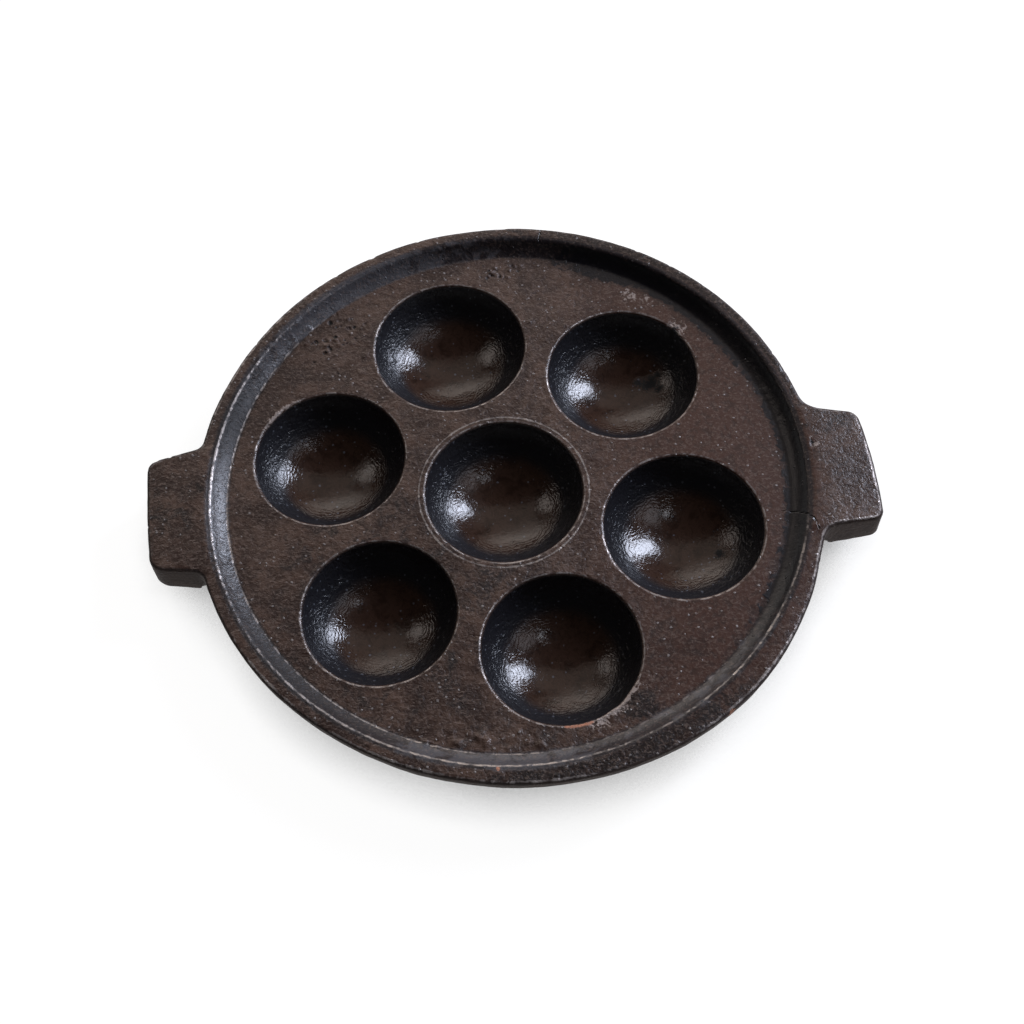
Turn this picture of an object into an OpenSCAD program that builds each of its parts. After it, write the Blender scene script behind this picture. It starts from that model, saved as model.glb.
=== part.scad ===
// Cast iron paniyaram pan: a shallow tray with seven round cups and two short side lugs.
// One casting. The origin is on the rim's axis, in the plane that the cups' feet stand on.
// X runs from lug to lug and Z points up out of the cups.

/* [Cups] */
// Radius of a cup at its lip, where the wall meets the plate
lip_r = 27; // [22:0.5:32]
// Depth of a cup below the plate
cup_depth = 16; // [13:0.5:20]
// Thickness of the iron round a cup
cup_wall = 4.5; // [3:0.25:6]
// Width of the steep part of the wall, from the lip in to the soft crease
wall_run = 7.5; // [6:0.5:9]
// Bulge radius of the steep part of the wall
wall_radius = 18.5; // [16:0.5:30]
// Radius of the rounded floor inside the crease
floor_radius = 38; // [34:1:50]
// Rounding of the lip
lip_edge = 1; // [0.5:0.25:2]
// Flat land between the lips of neighbouring cups
cup_gap = 9; // [7:0.5:16]
// Turn of the ring of cups about the centre cup, in degrees
ring_turn = 44.8; // [0:0.2:60]
// How far the cup pattern sits off the rim's centre along X
ring_shift_x = -2.2; // [-3:0.1:3]
// How far the cup pattern sits off the rim's centre along Y
ring_shift_y = -2; // [-3:0.1:3]

/* [Plate] */
// Thickness of the plate between the cups
plate_t = 5; // [4:0.25:7]
// Flat land between the outer cups' lips and the foot of the rim's cove
edge_gap = 8; // [6:0.5:14]

/* [Rim] */
// Height of the rim's top above the plate
rim_rise = 4.5; // [3.5:0.5:9]
// Width of the rim's top, its rounded edges counted in
rim_land = 6.5; // [5:0.25:8]
// Width of the cove between the plate and the rim's inner edge
cove_run = 4.5; // [3:0.25:7]
// Radius of the hollow curve of the cove
cove_radius = 13; // [10:0.5:20]
// Height of the upright band round the outside of the rim
band_h = 4.25; // [2.5:0.25:5]
// How far the band leans in at its lower edge, so that the casting leaves its mould
band_draft = 0.2; // [0.1:0.1:0.6]
// Width of the rounded flank between the band and the flat underside
flank_run = 8.3; // [6:0.1:11]
// Bulge radius of the flank
flank_radius = 14; // [10:0.5:20]
// Width of the soft brow between the cove and the rim's land
rim_brow = 1.8; // [1:0.2:2.4]
// Rounding of the rim's outer edge
rim_edge = 1; // [0.4:0.1:1.5]
// How far the tray's hollow sits off the rim's centre along X, as the mould's halves did not match
hollow_shift_x = -0.6; // [-1.5:0.1:1.5]
// How far the tray's hollow sits off the rim's centre along Y
hollow_shift_y = 0.5; // [-1.5:0.1:1.5]

/* [Underside] */
// Radius of the flat foot under each cup
foot_r = 9; // [5:0.5:12]
// Fillet between a cup's outside and the plate's underside
bowl_fillet = 3; // [2:0.25:4]

/* [Lugs] */
// Length of a lug beyond the rim
lug_length = 16; // [12:0.5:30]
// Width of a lug at its end
lug_end_w = 42.5; // [30:0.5:55]
// Flare of each side of a lug towards the rim, in degrees
lug_flare = 9.5; // [4:0.5:15]
// Thickness of a lug at its end
lug_end_t = 8.5; // [6:0.25:10]
// Thickness of a lug at the rim
lug_root_t = 9.75; // [8:0.25:12]
// Radius of a lug's corners, seen from above
lug_corner = 5; // [3:0.5:8]
// Rounding of a lug's upper and lower edges
lug_edge = 1.2; // [0.6:0.1:2]
// How far a lug's top stands proud of the rim
lug_proud = 0.5; // [0.2:0.1:1]
// Strip of the rim's land that the lug's pad leaves bare at the inner edge
pad_step = 0.8; // [0.3:0.1:1.5]
// Direction of the left lug's middle line, in degrees
left_lug_bearing = 183.2; // [176:0.2:184]
// Direction of the right lug's middle line, in degrees
right_lug_bearing = -1.3; // [-4:0.1:4]
// Turn of the left lug's end out of the square, in degrees
left_end_tilt = 1.8; // [-6:0.1:6]
// Turn of the right lug's end out of the square, in degrees
right_end_tilt = 4.6; // [-6:0.1:6]
// Fillet between the left lug and the rim, seen from above
left_root_fillet = 4.5; // [3:0.5:12]
// Fillet between the right lug and the rim, seen from above
right_root_fillet = 8; // [3:0.5:12]

/* [Hidden] */

// Straight pieces that stand for a round stretch of an outline
arc_steps = 8;
// Height by which a cutter runs past the surface it opens
clear = 1;
// How far a fillet piece is sunk into the iron on each side of it
sink = 0.15;

// Six cups fit round the one in the middle, all with the same land between them
ring_cups = 6;
ring_r = 2 * lip_r + cup_gap;
ring_shift = [ring_shift_x, ring_shift_y];
hollow_shift = [hollow_shift_x, hollow_shift_y];

// The hand-made pattern: how far each cup sits from its true place, and how much larger its lip is.
// The first entry is the centre cup, the others follow the ring round anticlockwise.
cup_drift = [[0, -0.5], [0.5, 0.5], [-1, 0], [0, 0], [1, 0.5], [0, 0.5], [0, -1.5]];
lip_drift = [0.5, 0, 0.5, -0.5, -1, -0.5, 0.5];

// Radii outwards from the axis
plate_r = ring_r + lip_r + edge_gap;
rim_inner_r = plate_r + cove_run;
rim_r = rim_inner_r + rim_land;

// Heights up from the feet: the foot is the flat that the base plane cuts off the rounded floor
bowl_radius = floor_radius + cup_wall;
foot_cut = bowl_radius - sqrt(bowl_radius * bowl_radius - foot_r * foot_r);
plate_top = cup_depth + cup_wall - foot_cut;
plate_under = plate_top - plate_t;
rim_top = plate_top + rim_rise;
lug_top = rim_top + lug_proud;

// The lug's outline, along its middle line and across it
lug_reach = rim_r + lug_length;
lug_end = [lug_reach - lug_corner, lug_end_w / 2 - lug_corner];
lug_root = [rim_inner_r, lug_end.y + (lug_end.x - rim_inner_r) * tan(lug_flare)];

// Centre of the round stretch between two points. A positive radius has it on the left of the way
// from the first point to the second, a negative one on the right.
function bend_centre(from, to, radius) =
    let (chord = to - from,
         half = norm(chord) / 2,
         left = [-chord.y, chord.x] / norm(chord))
    (from + to) / 2 + left * sign(radius) * sqrt(radius * radius - half * half);

// Points of a round stretch between two points, moved outwards from its centre by grow
function bend(from, to, radius, grow = 0, steps = arc_steps) =
    let (centre = bend_centre(from, to, radius),
         first = atan2(from.y - centre.y, from.x - centre.x),
         turn = 2 * asin(norm(to - from) / 2 / radius))
    [for (i = [0 : steps])
        let (angle = first + turn * i / steps)
        centre + (abs(radius) + grow) * [cos(angle), sin(angle)]];

// Height of the rounded floor at a radius from the cup's axis
function floor_z(r) =
    plate_top - cup_depth + floor_radius - sqrt(floor_radius * floor_radius - r * r);

// The soft crease between the floor and the wall, and the lip, for a cup with this lip radius
function crease(lip) = [lip - wall_run, floor_z(lip - wall_run)];
function lip_point(lip) = [lip, plate_top];

// Radius of the cup's wall at a height, moved outwards by grow
function wall_r(lip, z, grow) =
    let (centre = bend_centre(crease(lip), lip_point(lip), wall_radius),
         reach = wall_radius + grow)
    centre.x + sqrt(reach * reach - (z - centre.y) * (z - centre.y));

// Half of the hollow in section: floor, wall and rounded lip
function hollow_profile(lip) =
    let (round_z = plate_top - lip_edge,
         round_start = [wall_r(lip, round_z, 0), round_z],
         round_end = [lip + lip_edge, plate_top])
    concat(
        bend([0, floor_z(0)], crease(lip), floor_radius),
        bend(crease(lip), round_start, wall_radius),
        bend(round_start, round_end, -1.25 * lip_edge),
        [[round_end.x, plate_top + clear], [0, plate_top + clear]]
    );

// Half of the outside of a cup in section: flat foot, parallel floor and wall, fillet to the plate.
// The outer floor ends at the crease, or before it where the wall leaves the crease less steeply.
function bowl_profile(lip) =
    let (centre = bend_centre(crease(lip), lip_point(lip), wall_radius),
         out = (crease(lip) - centre) / wall_radius,
         inner_foot_r = foot_r * floor_radius / bowl_radius,
         floor_end_r = min(crease(lip).x, floor_radius * out.x),
         fillet_z = plate_under - bowl_fillet,
         fillet_start = [wall_r(lip, fillet_z, cup_wall), fillet_z],
         fillet_end = fillet_start + [1.3 * bowl_fillet, bowl_fillet + sink])
    concat(
        [[0, 0]],
        bend([inner_foot_r, floor_z(inner_foot_r)], [floor_end_r, floor_z(floor_end_r)],
             floor_radius, cup_wall),
        bend(crease(lip) + cup_wall * out, fillet_start, wall_radius + cup_wall),
        bend(fillet_start, fillet_end, -1.4 * bowl_fillet),
        [[0, plate_under + sink]]
    );

// Half of the tray's outside in section: underside, flank, band and rounded edge
function outside_profile() =
    let (band_foot = [rim_r - band_draft, rim_top - band_h])
    concat(
        [[0, plate_under]],
        bend([rim_r - flank_run, plate_under], band_foot, flank_radius),
        bend([rim_r, rim_top - rim_edge], [rim_r - rim_edge, rim_top], rim_edge),
        [[0, rim_top]]
    );

// Half of the tray's hollow in section: plate, cove and soft brow
function tray_hollow_profile() =
    let (brow_start = [rim_inner_r, rim_top - rim_brow / 2],
         brow_end = [rim_inner_r + rim_brow, rim_top])
    concat(
        [[0, plate_top]],
        bend([plate_r, plate_top], brow_start, cove_radius),
        bend(brow_start, brow_end, -1.25 * rim_brow),
        [[brow_end.x, rim_top + clear], [0, rim_top + clear]]
    );

// Puts one child at each cup, told the cup's lip radius through $lip
module at_cups() {
    for (i = [0 : ring_cups]) {
        bearing = ring_turn + 360 * (i - 1) / ring_cups;
        place = i == 0 ? [0, 0] : ring_r * [cos(bearing), sin(bearing)];
        $lip = lip_r + lip_drift[i];
        translate(ring_shift + place + cup_drift[i]) children();
    }
}

// A round slab with rounded edges
module soft_disc(radius, thickness) {
    rotate_extrude($fn = 32)
        polygon(concat(
            [[0, 0]],
            bend([radius - lug_edge, 0], [radius, lug_edge], lug_edge, steps = 3),
            bend([radius, thickness - lug_edge], [radius - lug_edge, thickness], lug_edge, steps = 3),
            [[0, thickness]]
        ));
}

// The fillet between a lug's side and the rim, a wedge whose hollow face is part of a circle
module root_fillet(radius) {
    slope = tan(lug_flare);
    rise = lug_end.y + (lug_corner + radius - sink) / cos(lug_flare) + lug_end.x * slope;
    span = rim_r + radius - sink;
    along = (rise * slope + sqrt((1 + slope * slope) * span * span - rise * rise)) / (1 + slope * slope);
    centre = [along, rise - along * slope];
    on_lug = centre - radius * [sin(lug_flare), cos(lug_flare)];
    on_rim = centre * (span - radius) / span;
    translate([0, 0, lug_top - lug_root_t + lug_edge])
        linear_extrude(lug_root_t - lug_edge - lug_proud)
            polygon(concat(
                bend(on_lug, on_rim, -radius),
                [on_rim * (rim_r - rim_land / 2) / rim_r,
                 [rim_inner_r + rim_land / 2, lug_end.y],
                 [on_lug.x, lug_end.y]]
            ));
}

// Centre of a lug's end corner on one side: as the end is turned, the corner slides along the side
function end_corner(side, tilt) =
    let (slide = side * lug_end.y * tan(tilt))
    [lug_end.x - slide, side * (lug_end.y + slide * tan(lug_flare))];

// A side lug with its pad across the rim's land, kept back from the tray's hollow
module lug(bearing, fillet, tilt) {
    difference() {
        rotate(bearing) {
            hull() {
                for (side = [-1, 1]) {
                    translate(concat(end_corner(side, tilt), lug_top - lug_end_t))
                        soft_disc(lug_corner, lug_end_t);
                    translate([lug_root.x, side * lug_root.y, lug_top - lug_root_t])
                        soft_disc(lug_corner, lug_root_t);
                }
            }
            root_fillet(fillet);
            mirror([0, 1, 0]) root_fillet(fillet);
        }
        translate(hollow_shift)
            cylinder(r = rim_inner_r + pad_step, h = lug_top + clear, $fn = 180);
    }
}

// The tray: a round body with its shallow hollow
module tray() {
    difference() {
        rotate_extrude($fn = 180) polygon(outside_profile());
        translate(hollow_shift) rotate_extrude($fn = 180) polygon(tray_hollow_profile());
    }
}

// The whole casting
module pan() {
    color("#3a332f")
        difference() {
            union() {
                tray();
                at_cups() rotate_extrude($fn = 96) polygon(bowl_profile($lip));
                lug(left_lug_bearing, left_root_fillet, left_end_tilt);
                lug(right_lug_bearing, right_root_fillet, right_end_tilt);
            }
            at_cups() rotate_extrude($fn = 96) polygon(hollow_profile($lip));
        }
}

pan();
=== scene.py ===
"""Seasoned cast iron paniyaram pan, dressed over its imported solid.

The pan is one sand casting: a shallow tray with seven round cups and two short side lugs. The
script lays its skin again as one closed mesh with the relief that the sand, the fire and the years
left on it, gives it one procedural iron, and sets up the lamps, the floor and the camera.
Lengths are millimetres until a mesh, a lamp or the camera is made, which are in metres. The origin
is on the rim's axis, in the plane of the cups' feet, X runs from lug to lug and Z points up.
"""

import logging
import math
from collections.abc import Callable
from dataclasses import dataclass, field
from enum import Enum, IntEnum

import bpy
import numpy as np
from mathutils import Matrix, Vector
from mathutils.geometry import delaunay_2d_cdt
from mathutils.kdtree import KDTree


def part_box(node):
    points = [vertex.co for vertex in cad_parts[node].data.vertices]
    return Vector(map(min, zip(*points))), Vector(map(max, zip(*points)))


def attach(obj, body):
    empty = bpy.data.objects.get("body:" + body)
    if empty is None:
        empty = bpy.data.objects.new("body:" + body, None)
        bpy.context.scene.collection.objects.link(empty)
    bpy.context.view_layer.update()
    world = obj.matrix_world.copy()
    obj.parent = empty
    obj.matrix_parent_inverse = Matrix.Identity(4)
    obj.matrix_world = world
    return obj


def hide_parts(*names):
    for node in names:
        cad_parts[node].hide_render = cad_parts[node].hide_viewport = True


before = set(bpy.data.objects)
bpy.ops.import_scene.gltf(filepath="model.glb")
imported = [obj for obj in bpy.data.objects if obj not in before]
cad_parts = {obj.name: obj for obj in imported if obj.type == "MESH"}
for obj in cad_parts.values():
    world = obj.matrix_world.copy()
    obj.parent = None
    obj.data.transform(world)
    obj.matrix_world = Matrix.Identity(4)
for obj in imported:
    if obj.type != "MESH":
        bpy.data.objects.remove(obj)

LOG = logging.getLogger("pan")
MM = 0.001
PIECE = "pan_casting"


def linear_colour(hex_code: str) -> tuple[float, float, float, float]:
    """Turns an sRGB hex colour into the linear colour that shaders and lamps take.

    Args:
        hex_code: Six hex digits after a hash sign.

    Returns:
        Linear red, green, blue and an alpha of one.
    """
    shares = [int(hex_code[i : i + 2], 16) / 255 for i in (1, 3, 5)]
    red, green, blue = (
        c / 12.92 if c <= 0.04045 else ((c + 0.055) / 1.055) ** 2.4 for c in shares
    )
    return red, green, blue, 1.0


def smooth(low: float, high: float, value: np.ndarray) -> np.ndarray:
    """Runs softly from 0 at low to 1 at high; low may lie above high."""
    t = np.clip((value - low) / (high - low), 0, 1)
    return t * t * (3 - 2 * t)


def unit(degrees: np.ndarray | float) -> np.ndarray:
    """Unit vectors in plan at angles in degrees, as rows."""
    a = np.radians(degrees)
    return np.stack([np.cos(a), np.sin(a)], axis=-1)


def arc(
    start: tuple[float, float],
    end: tuple[float, float],
    radius: float,
    grow: float = 0.0,
    steps: int = 24,
) -> np.ndarray:
    """Points of a round stretch between two points.

    Args:
        start: First point.
        end: Last point.
        radius: Radius, positive with the centre on the left of the way, negative on the right.
        grow: How far the points are then moved outwards from the centre.
        steps: Number of straight pieces.

    Returns:
        The points, one a row.
    """
    a, b = np.array(start, float), np.array(end, float)
    chord = b - a
    length = np.linalg.norm(chord)
    left = np.array([-chord[1], chord[0]]) / length
    centre = (a + b) / 2 + left * math.copysign(
        math.sqrt(radius * radius - length * length / 4), radius
    )
    first = math.atan2(a[1] - centre[1], a[0] - centre[0])
    turn = 2 * math.asin(length / 2 / radius)
    angles = first + turn * np.linspace(0, 1, steps + 1)
    return centre + (abs(radius) + grow) * np.stack([np.cos(angles), np.sin(angles)], -1)


def evenly(path: np.ndarray, count: int, closed: bool = False) -> np.ndarray:
    """Spreads points evenly along a path.

    Args:
        path: Corner points, one a row.
        count: Number of points to return.
        closed: True if the path runs back to its first point.

    Returns:
        The points; an open path keeps both of its ends.
    """
    full = np.vstack([path, path[:1]]) if closed else path
    steps = np.linalg.norm(np.diff(full, axis=0), axis=1)
    run = np.concatenate([[0], np.cumsum(steps)])
    places = np.linspace(0, run[-1], count, endpoint=not closed)
    return np.stack([np.interp(places, run, full[:, i]) for i in range(full.shape[1])], -1)


class Skin(IntEnum):
    """The skin of the casting that a point lies on."""

    CUP = 0
    PLATE = 1
    COVE = 2
    RIM = 3
    SIDE = 4
    UNDER = 5


@dataclass(frozen=True)
class GradientNoise:
    """Smooth noise in space from a seeded lattice of slopes, about -1 to 1."""

    seed: int
    cells: int = 256

    def at(self, points: np.ndarray, size: float) -> np.ndarray:
        """Noise at points, with lumps about as wide as size.

        Args:
            points: Points in space, one a row.
            size: Spacing of the lattice.

        Returns:
            One value a point.
        """
        draw = np.random.default_rng(self.seed)
        order = draw.permutation(self.cells)
        slopes = draw.normal(size=(self.cells, 3))
        slopes /= np.linalg.norm(slopes, axis=1, keepdims=True)
        place = points / size + 57.3
        cell = np.floor(place).astype(int)
        part = place - cell
        fade = part**3 * (part * (part * 6 - 15) + 10)
        total = np.zeros(len(points))
        for corner in np.ndindex(2, 2, 2):
            c = (cell + corner) % self.cells
            key = order[(order[(order[c[:, 0]] + c[:, 1]) % self.cells] + c[:, 2]) % self.cells]
            weight = np.prod(np.where(corner, fade, 1 - fade), axis=1)
            total += weight * np.einsum("ij,ij->i", slopes[key], part - corner)
        return total * 1.5


class Shell:
    """One closed skin, grown out of patches that share the loops along their borders."""

    def __init__(self) -> None:
        """Starts with nothing."""
        self.points = np.zeros((0, 3))
        self.skins = np.zeros(0, int)
        self.faces: list[np.ndarray] = []

    def add(self, points: np.ndarray, skin: Skin) -> np.ndarray:
        """Adds points and returns their numbers.

        Args:
            points: Points in space, one a row.
            skin: The skin that they lie on.

        Returns:
            The numbers of the new points.
        """
        first = len(self.points)
        self.points = np.vstack([self.points, points])
        self.skins = np.concatenate([self.skins, np.full(len(points), int(skin))])
        return np.arange(first, first + len(points))

    def face(self, corners: np.ndarray, up: bool) -> None:
        """Adds faces given anticlockwise as seen from above, turned over unless up."""
        self.faces.append(corners if up else corners[:, ::-1])

    def strip(self, inner: np.ndarray, outer: np.ndarray, up: bool) -> None:
        """Joins two loops of as many points with one row of four-sided faces."""
        after = np.roll(inner, -1), np.roll(outer, -1)
        self.face(np.stack([inner, outer, after[1], after[0]], axis=1), up)

    def rows(self, first: np.ndarray, rows: list[np.ndarray], skin: Skin, up: bool) -> np.ndarray:
        """Carries a loop on through rows of points.

        Args:
            first: The loop to start from.
            rows: Points of each further loop, going outwards for a skin that faces up.
            skin: The skin that they lie on.
            up: True if the first loop is the inner one of a skin that is seen from above.

        Returns:
            The last loop.
        """
        loop = first
        for row in rows:
            following = self.add(row, skin)
            self.strip(loop, following, up)
            loop = following
        return loop

    def dish(self, centre: np.ndarray, section: np.ndarray, skin: Skin, up: bool) -> np.ndarray:
        """Lays a round dish whose ring k has 6k points, so that they stay evenly spread.

        Args:
            centre: The axis in plan.
            section: Radius and height of the pole and of each ring, one a row.
            skin: The skin that it lies on.
            up: True if it is seen from above.

        Returns:
            The outermost loop.
        """
        loop = self.add(np.array([[centre[0], centre[1], section[0, 1]]]), skin)
        for k, (radius, height) in enumerate(section[1:], start=1):
            flat = centre + radius * unit(np.arange(6 * k) * 60 / k)
            ring = self.add(np.column_stack([flat, np.full(6 * k, height)]), skin)
            sector, step = np.divmod(np.arange(6 * k), k)
            low = loop[(sector * (k - 1) + step) % max(6 * (k - 1), 1)]
            self.face(np.stack([low, ring, np.roll(ring, -1)], axis=1), up)
            if k > 1:
                ring_at = (np.arange(6 * (k - 1)) // (k - 1)) * k + np.arange(6 * (k - 1)) % (k - 1) + 1
                self.face(np.stack([loop, ring[ring_at], np.roll(loop, -1)], axis=1), up)
            loop = ring
        return loop

    def fill(
        self,
        outer: np.ndarray,
        holes: list[np.ndarray],
        spacing: float,
        height: Callable[[np.ndarray], np.ndarray],
        skin: Skin,
        up: bool,
        finer: tuple[tuple[float, float, float], ...] = (),
    ) -> None:
        """Fills the flat land between loops with even triangles.

        Args:
            outer: The loop round the outside.
            holes: The loops round what stays open.
            spacing: Distance between points.
            height: Gives the height of each point in plan.
            skin: The skin that it lies on.
            up: True if it is seen from above.
            finer: Discs, as x, y and radius, where the points lie twice as close.
        """
        loops = [outer, *holes]
        border = np.concatenate(loops)
        outline = self.points[border][:, :2]
        coarse = self._grid(outline, spacing)
        near = np.zeros(len(coarse), bool)
        for x, y, radius in finer:
            near |= np.hypot(coarse[:, 0] - x, coarse[:, 1] - y) < radius
        parts = [(coarse[~near], spacing)]
        if finer:
            dense = self._grid(outline, spacing / 2)
            inside = np.zeros(len(dense), bool)
            for x, y, radius in finer:
                inside |= np.hypot(dense[:, 0] - x, dense[:, 1] - y) < radius
            parts.append((dense[inside], spacing / 2))
        tree = KDTree(len(border))
        for i, (x, y) in enumerate(outline):
            tree.insert((x, y, 0), i)
        tree.balance()
        kept = [
            np.array([p for p in grid if tree.find((p[0], p[1], 0))[2] > 0.65 * step]).reshape(-1, 2)
            for grid, step in parts
        ]
        within = np.vstack(kept)
        within = within[self._between(within, loops)]
        numbers = np.concatenate(
            [border, self.add(np.column_stack([within, height(within)]), skin)]
        )
        edges, first = [], 0
        for loop in loops:
            n = len(loop)
            edges += [(first + i, first + (i + 1) % n) for i in range(n)]
            first += n
        flat = [Vector(p) for p in np.vstack([outline, within])]
        made = delaunay_2d_cdt(flat, edges, [], 0, 1e-7)
        source = np.array([origin[0] for origin in made[3]])
        corners = source[np.array([f for f in made[2]])]
        places = np.vstack([outline, within])[corners]
        a, b, c = places[:, 0], places[:, 1], places[:, 2]
        turn = (b[:, 0] - a[:, 0]) * (c[:, 1] - a[:, 1]) - (b[:, 1] - a[:, 1]) * (c[:, 0] - a[:, 0])
        corners = np.where(turn[:, None] > 0, corners, corners[:, ::-1])
        good = self._between(places.mean(axis=1), loops) & (np.abs(turn) > 1e-9)
        self.face(numbers[corners[good]], up)

    @staticmethod
    def _grid(outline: np.ndarray, spacing: float) -> np.ndarray:
        """Slightly uneven triangular grid of points over the outline's box."""
        low, high = outline.min(axis=0), outline.max(axis=0)
        rows = np.arange(low[1], high[1], spacing * math.sqrt(3) / 2)
        odd = (np.arange(len(rows)) % 2)[:, None] * spacing / 2
        x = np.arange(low[0], high[0], spacing)[None, :] + odd
        grid = np.stack([x, np.broadcast_to(rows[:, None], x.shape)], -1).reshape(-1, 2)
        return grid + np.random.default_rng(5).uniform(-0.14, 0.14, grid.shape) * spacing

    def _between(self, places: np.ndarray, loops: list[np.ndarray]) -> np.ndarray:
        """Tells which places in plan lie inside the first loop and outside the others."""
        inside = np.zeros(len(places), bool)
        for loop in loops:
            ring = self.points[loop][:, :2]
            for (ax, ay), (bx, by) in zip(ring, np.roll(ring, -1, axis=0), strict=True):
                if ay != by:
                    spans = (ay > places[:, 1]) != (by > places[:, 1])
                    cross = (bx - ax) * (places[:, 1] - ay) / (by - ay) + ax
                    inside ^= spans & (places[:, 0] < cross)
        return inside

    def normals(self) -> np.ndarray:
        """Outward normals of the points, weighted by area."""
        total = np.zeros_like(self.points)
        for corners in self.faces:
            p = self.points[corners]
            if corners.shape[1] == 4:
                across = np.cross(p[:, 2] - p[:, 0], p[:, -1] - p[:, 1])
            else:
                across = np.cross(p[:, 1] - p[:, 0], p[:, 2] - p[:, 0])
            for column in corners.T:
                np.add.at(total, column, across)
        return total / np.maximum(np.linalg.norm(total, axis=1, keepdims=True), 1e-12)

    def to_object(self, name: str, attributes: dict[str, np.ndarray]) -> bpy.types.Object:
        """Makes the Blender object, smooth all over.

        Args:
            name: Name of the object and its mesh.
            attributes: Values that the material reads, one a point.

        Returns:
            The object, linked to the scene.
        """
        mesh = bpy.data.meshes.new(name)
        corners = [tuple(f) for block in self.faces for f in block.tolist()]
        mesh.from_pydata((self.points * MM).tolist(), [], corners)
        mesh.validate()
        mesh.polygons.foreach_set("use_smooth", np.ones(len(mesh.polygons), bool))
        for key, values in attributes.items():
            layer = mesh.attributes.new(key, "FLOAT", "POINT")
            layer.data.foreach_set("value", values.astype(np.float32))
        mesh.update()
        made = bpy.data.objects.new(name, mesh)
        bpy.context.scene.collection.objects.link(made)
        return made


@dataclass(frozen=True)
class PanSizes:
    """Sizes of the casting in millimetres: the solid's own, except that the lugs are deeper here."""

    cup_depth: float = 16.0
    cup_wall: float = 4.5
    wall_run: float = 7.5
    wall_radius: float = 18.5
    floor_radius: float = 38.0
    lip_edge: float = 1.0
    foot_r: float = 9.0
    bowl_fillet: float = 3.0
    plate_r: float = 98.0
    plate_t: float = 5.0
    rim_rise: float = 4.5
    rim_inner_r: float = 102.5
    rim_r: float = 109.0
    rim_brow: float = 1.8
    rim_edge: float = 1.0
    hollow_x: float = -0.6
    hollow_y: float = 0.5
    cove_radius: float = 13.0
    band_h: float = 4.25
    band_draft: float = 0.2
    flank_run: float = 8.3
    flank_radius: float = 14.0
    lug_proud: float = 0.5
    lug_end_t: float = 12.0
    lug_root_t: float = 14.2
    lug_flare: float = 0.7
    lug_edge: float = 1.2

    @property
    def bowl_radius(self) -> float:
        """Radius of the rounded floor on the outside of a cup."""
        return self.floor_radius + self.cup_wall

    @property
    def plate_top(self) -> float:
        """Height of the plate above the feet."""
        foot_cut = self.bowl_radius - math.sqrt(self.bowl_radius**2 - self.foot_r**2)
        return self.cup_depth + self.cup_wall - foot_cut

    @property
    def plate_under(self) -> float:
        """Height of the plate's underside."""
        return self.plate_top - self.plate_t

    @property
    def rim_top(self) -> float:
        """Height of the rim's land."""
        return self.plate_top + self.rim_rise

    @property
    def brow_r(self) -> float:
        """Radius where the soft brow of the tray's hollow runs out on the rim's land."""
        return self.rim_inner_r + self.rim_brow

    @property
    def hollow(self) -> np.ndarray:
        """Axis of the tray's hollow in plan, a little off the axis of its outside."""
        return np.array([self.hollow_x, self.hollow_y])


@dataclass(frozen=True)
class Cup:
    """One round cup: its axis in plan and the radius of its lip."""

    x: float
    y: float
    lip: float
    sizes: PanSizes = field(default_factory=PanSizes)

    @property
    def centre(self) -> np.ndarray:
        """The axis in plan."""
        return np.array([self.x, self.y])

    def _floor_z(self, radius: float) -> float:
        """Height of the rounded floor at a radius."""
        s = self.sizes
        return s.plate_top - s.cup_depth + s.floor_radius - math.sqrt(s.floor_radius**2 - radius**2)

    def _crease(self) -> tuple[float, float]:
        """The soft crease between floor and wall, in section."""
        radius = self.lip - self.sizes.wall_run
        return radius, self._floor_z(radius)

    def _wall_centre(self) -> np.ndarray:
        """Centre of the wall's curve, in section."""
        s = self.sizes
        a, b = np.array(self._crease()), np.array([self.lip, s.plate_top])
        chord = b - a
        length = np.linalg.norm(chord)
        left = np.array([-chord[1], chord[0]]) / length
        return (a + b) / 2 + left * math.sqrt(s.wall_radius**2 - length**2 / 4)

    def _wall_r(self, height: float, grow: float) -> float:
        """Radius of the wall at a height, moved outwards by grow."""
        centre = self._wall_centre()
        return centre[0] + math.sqrt((self.sizes.wall_radius + grow) ** 2 - (height - centre[1]) ** 2)

    def hollow(self) -> np.ndarray:
        """Half of the hollow in section, from the pole to the foot of the lip's rounding."""
        s = self.sizes
        crease = self._crease()
        round_z = s.plate_top - s.lip_edge
        start = (self._wall_r(round_z, 0), round_z)
        return np.vstack([
            arc((0, self._floor_z(0)), crease, s.floor_radius),
            arc(crease, start, s.wall_radius)[1:],
        ])

    def lip_rounding(self) -> np.ndarray:
        """The rounded lip in section, from the wall to the plate."""
        s = self.sizes
        round_z = s.plate_top - s.lip_edge
        start = (self._wall_r(round_z, 0), round_z)
        return arc(start, (self.lip + s.lip_edge, s.plate_top), -1.25 * s.lip_edge)

    def bowl(self) -> np.ndarray:
        """Half of the outside in section, from the middle of the foot to the plate's underside."""
        s = self.sizes
        crease = np.array(self._crease())
        out = (crease - self._wall_centre()) / s.wall_radius
        inner_foot = s.foot_r * s.floor_radius / s.bowl_radius
        floor_end = min(crease[0], s.floor_radius * out[0])
        fillet_z = s.plate_under - s.bowl_fillet
        start = (self._wall_r(fillet_z, s.cup_wall), fillet_z)
        end = (start[0] + 1.3 * s.bowl_fillet, fillet_z + s.bowl_fillet)
        floor_ends = [(radius, self._floor_z(radius)) for radius in (inner_foot, floor_end)]
        return np.vstack([
            [[0, 0]],
            arc(*floor_ends, s.floor_radius, s.cup_wall),
            arc(tuple(crease + s.cup_wall * out), start, s.wall_radius + s.cup_wall),
            arc(start, end, -1.4 * s.bowl_fillet),
        ])


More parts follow.
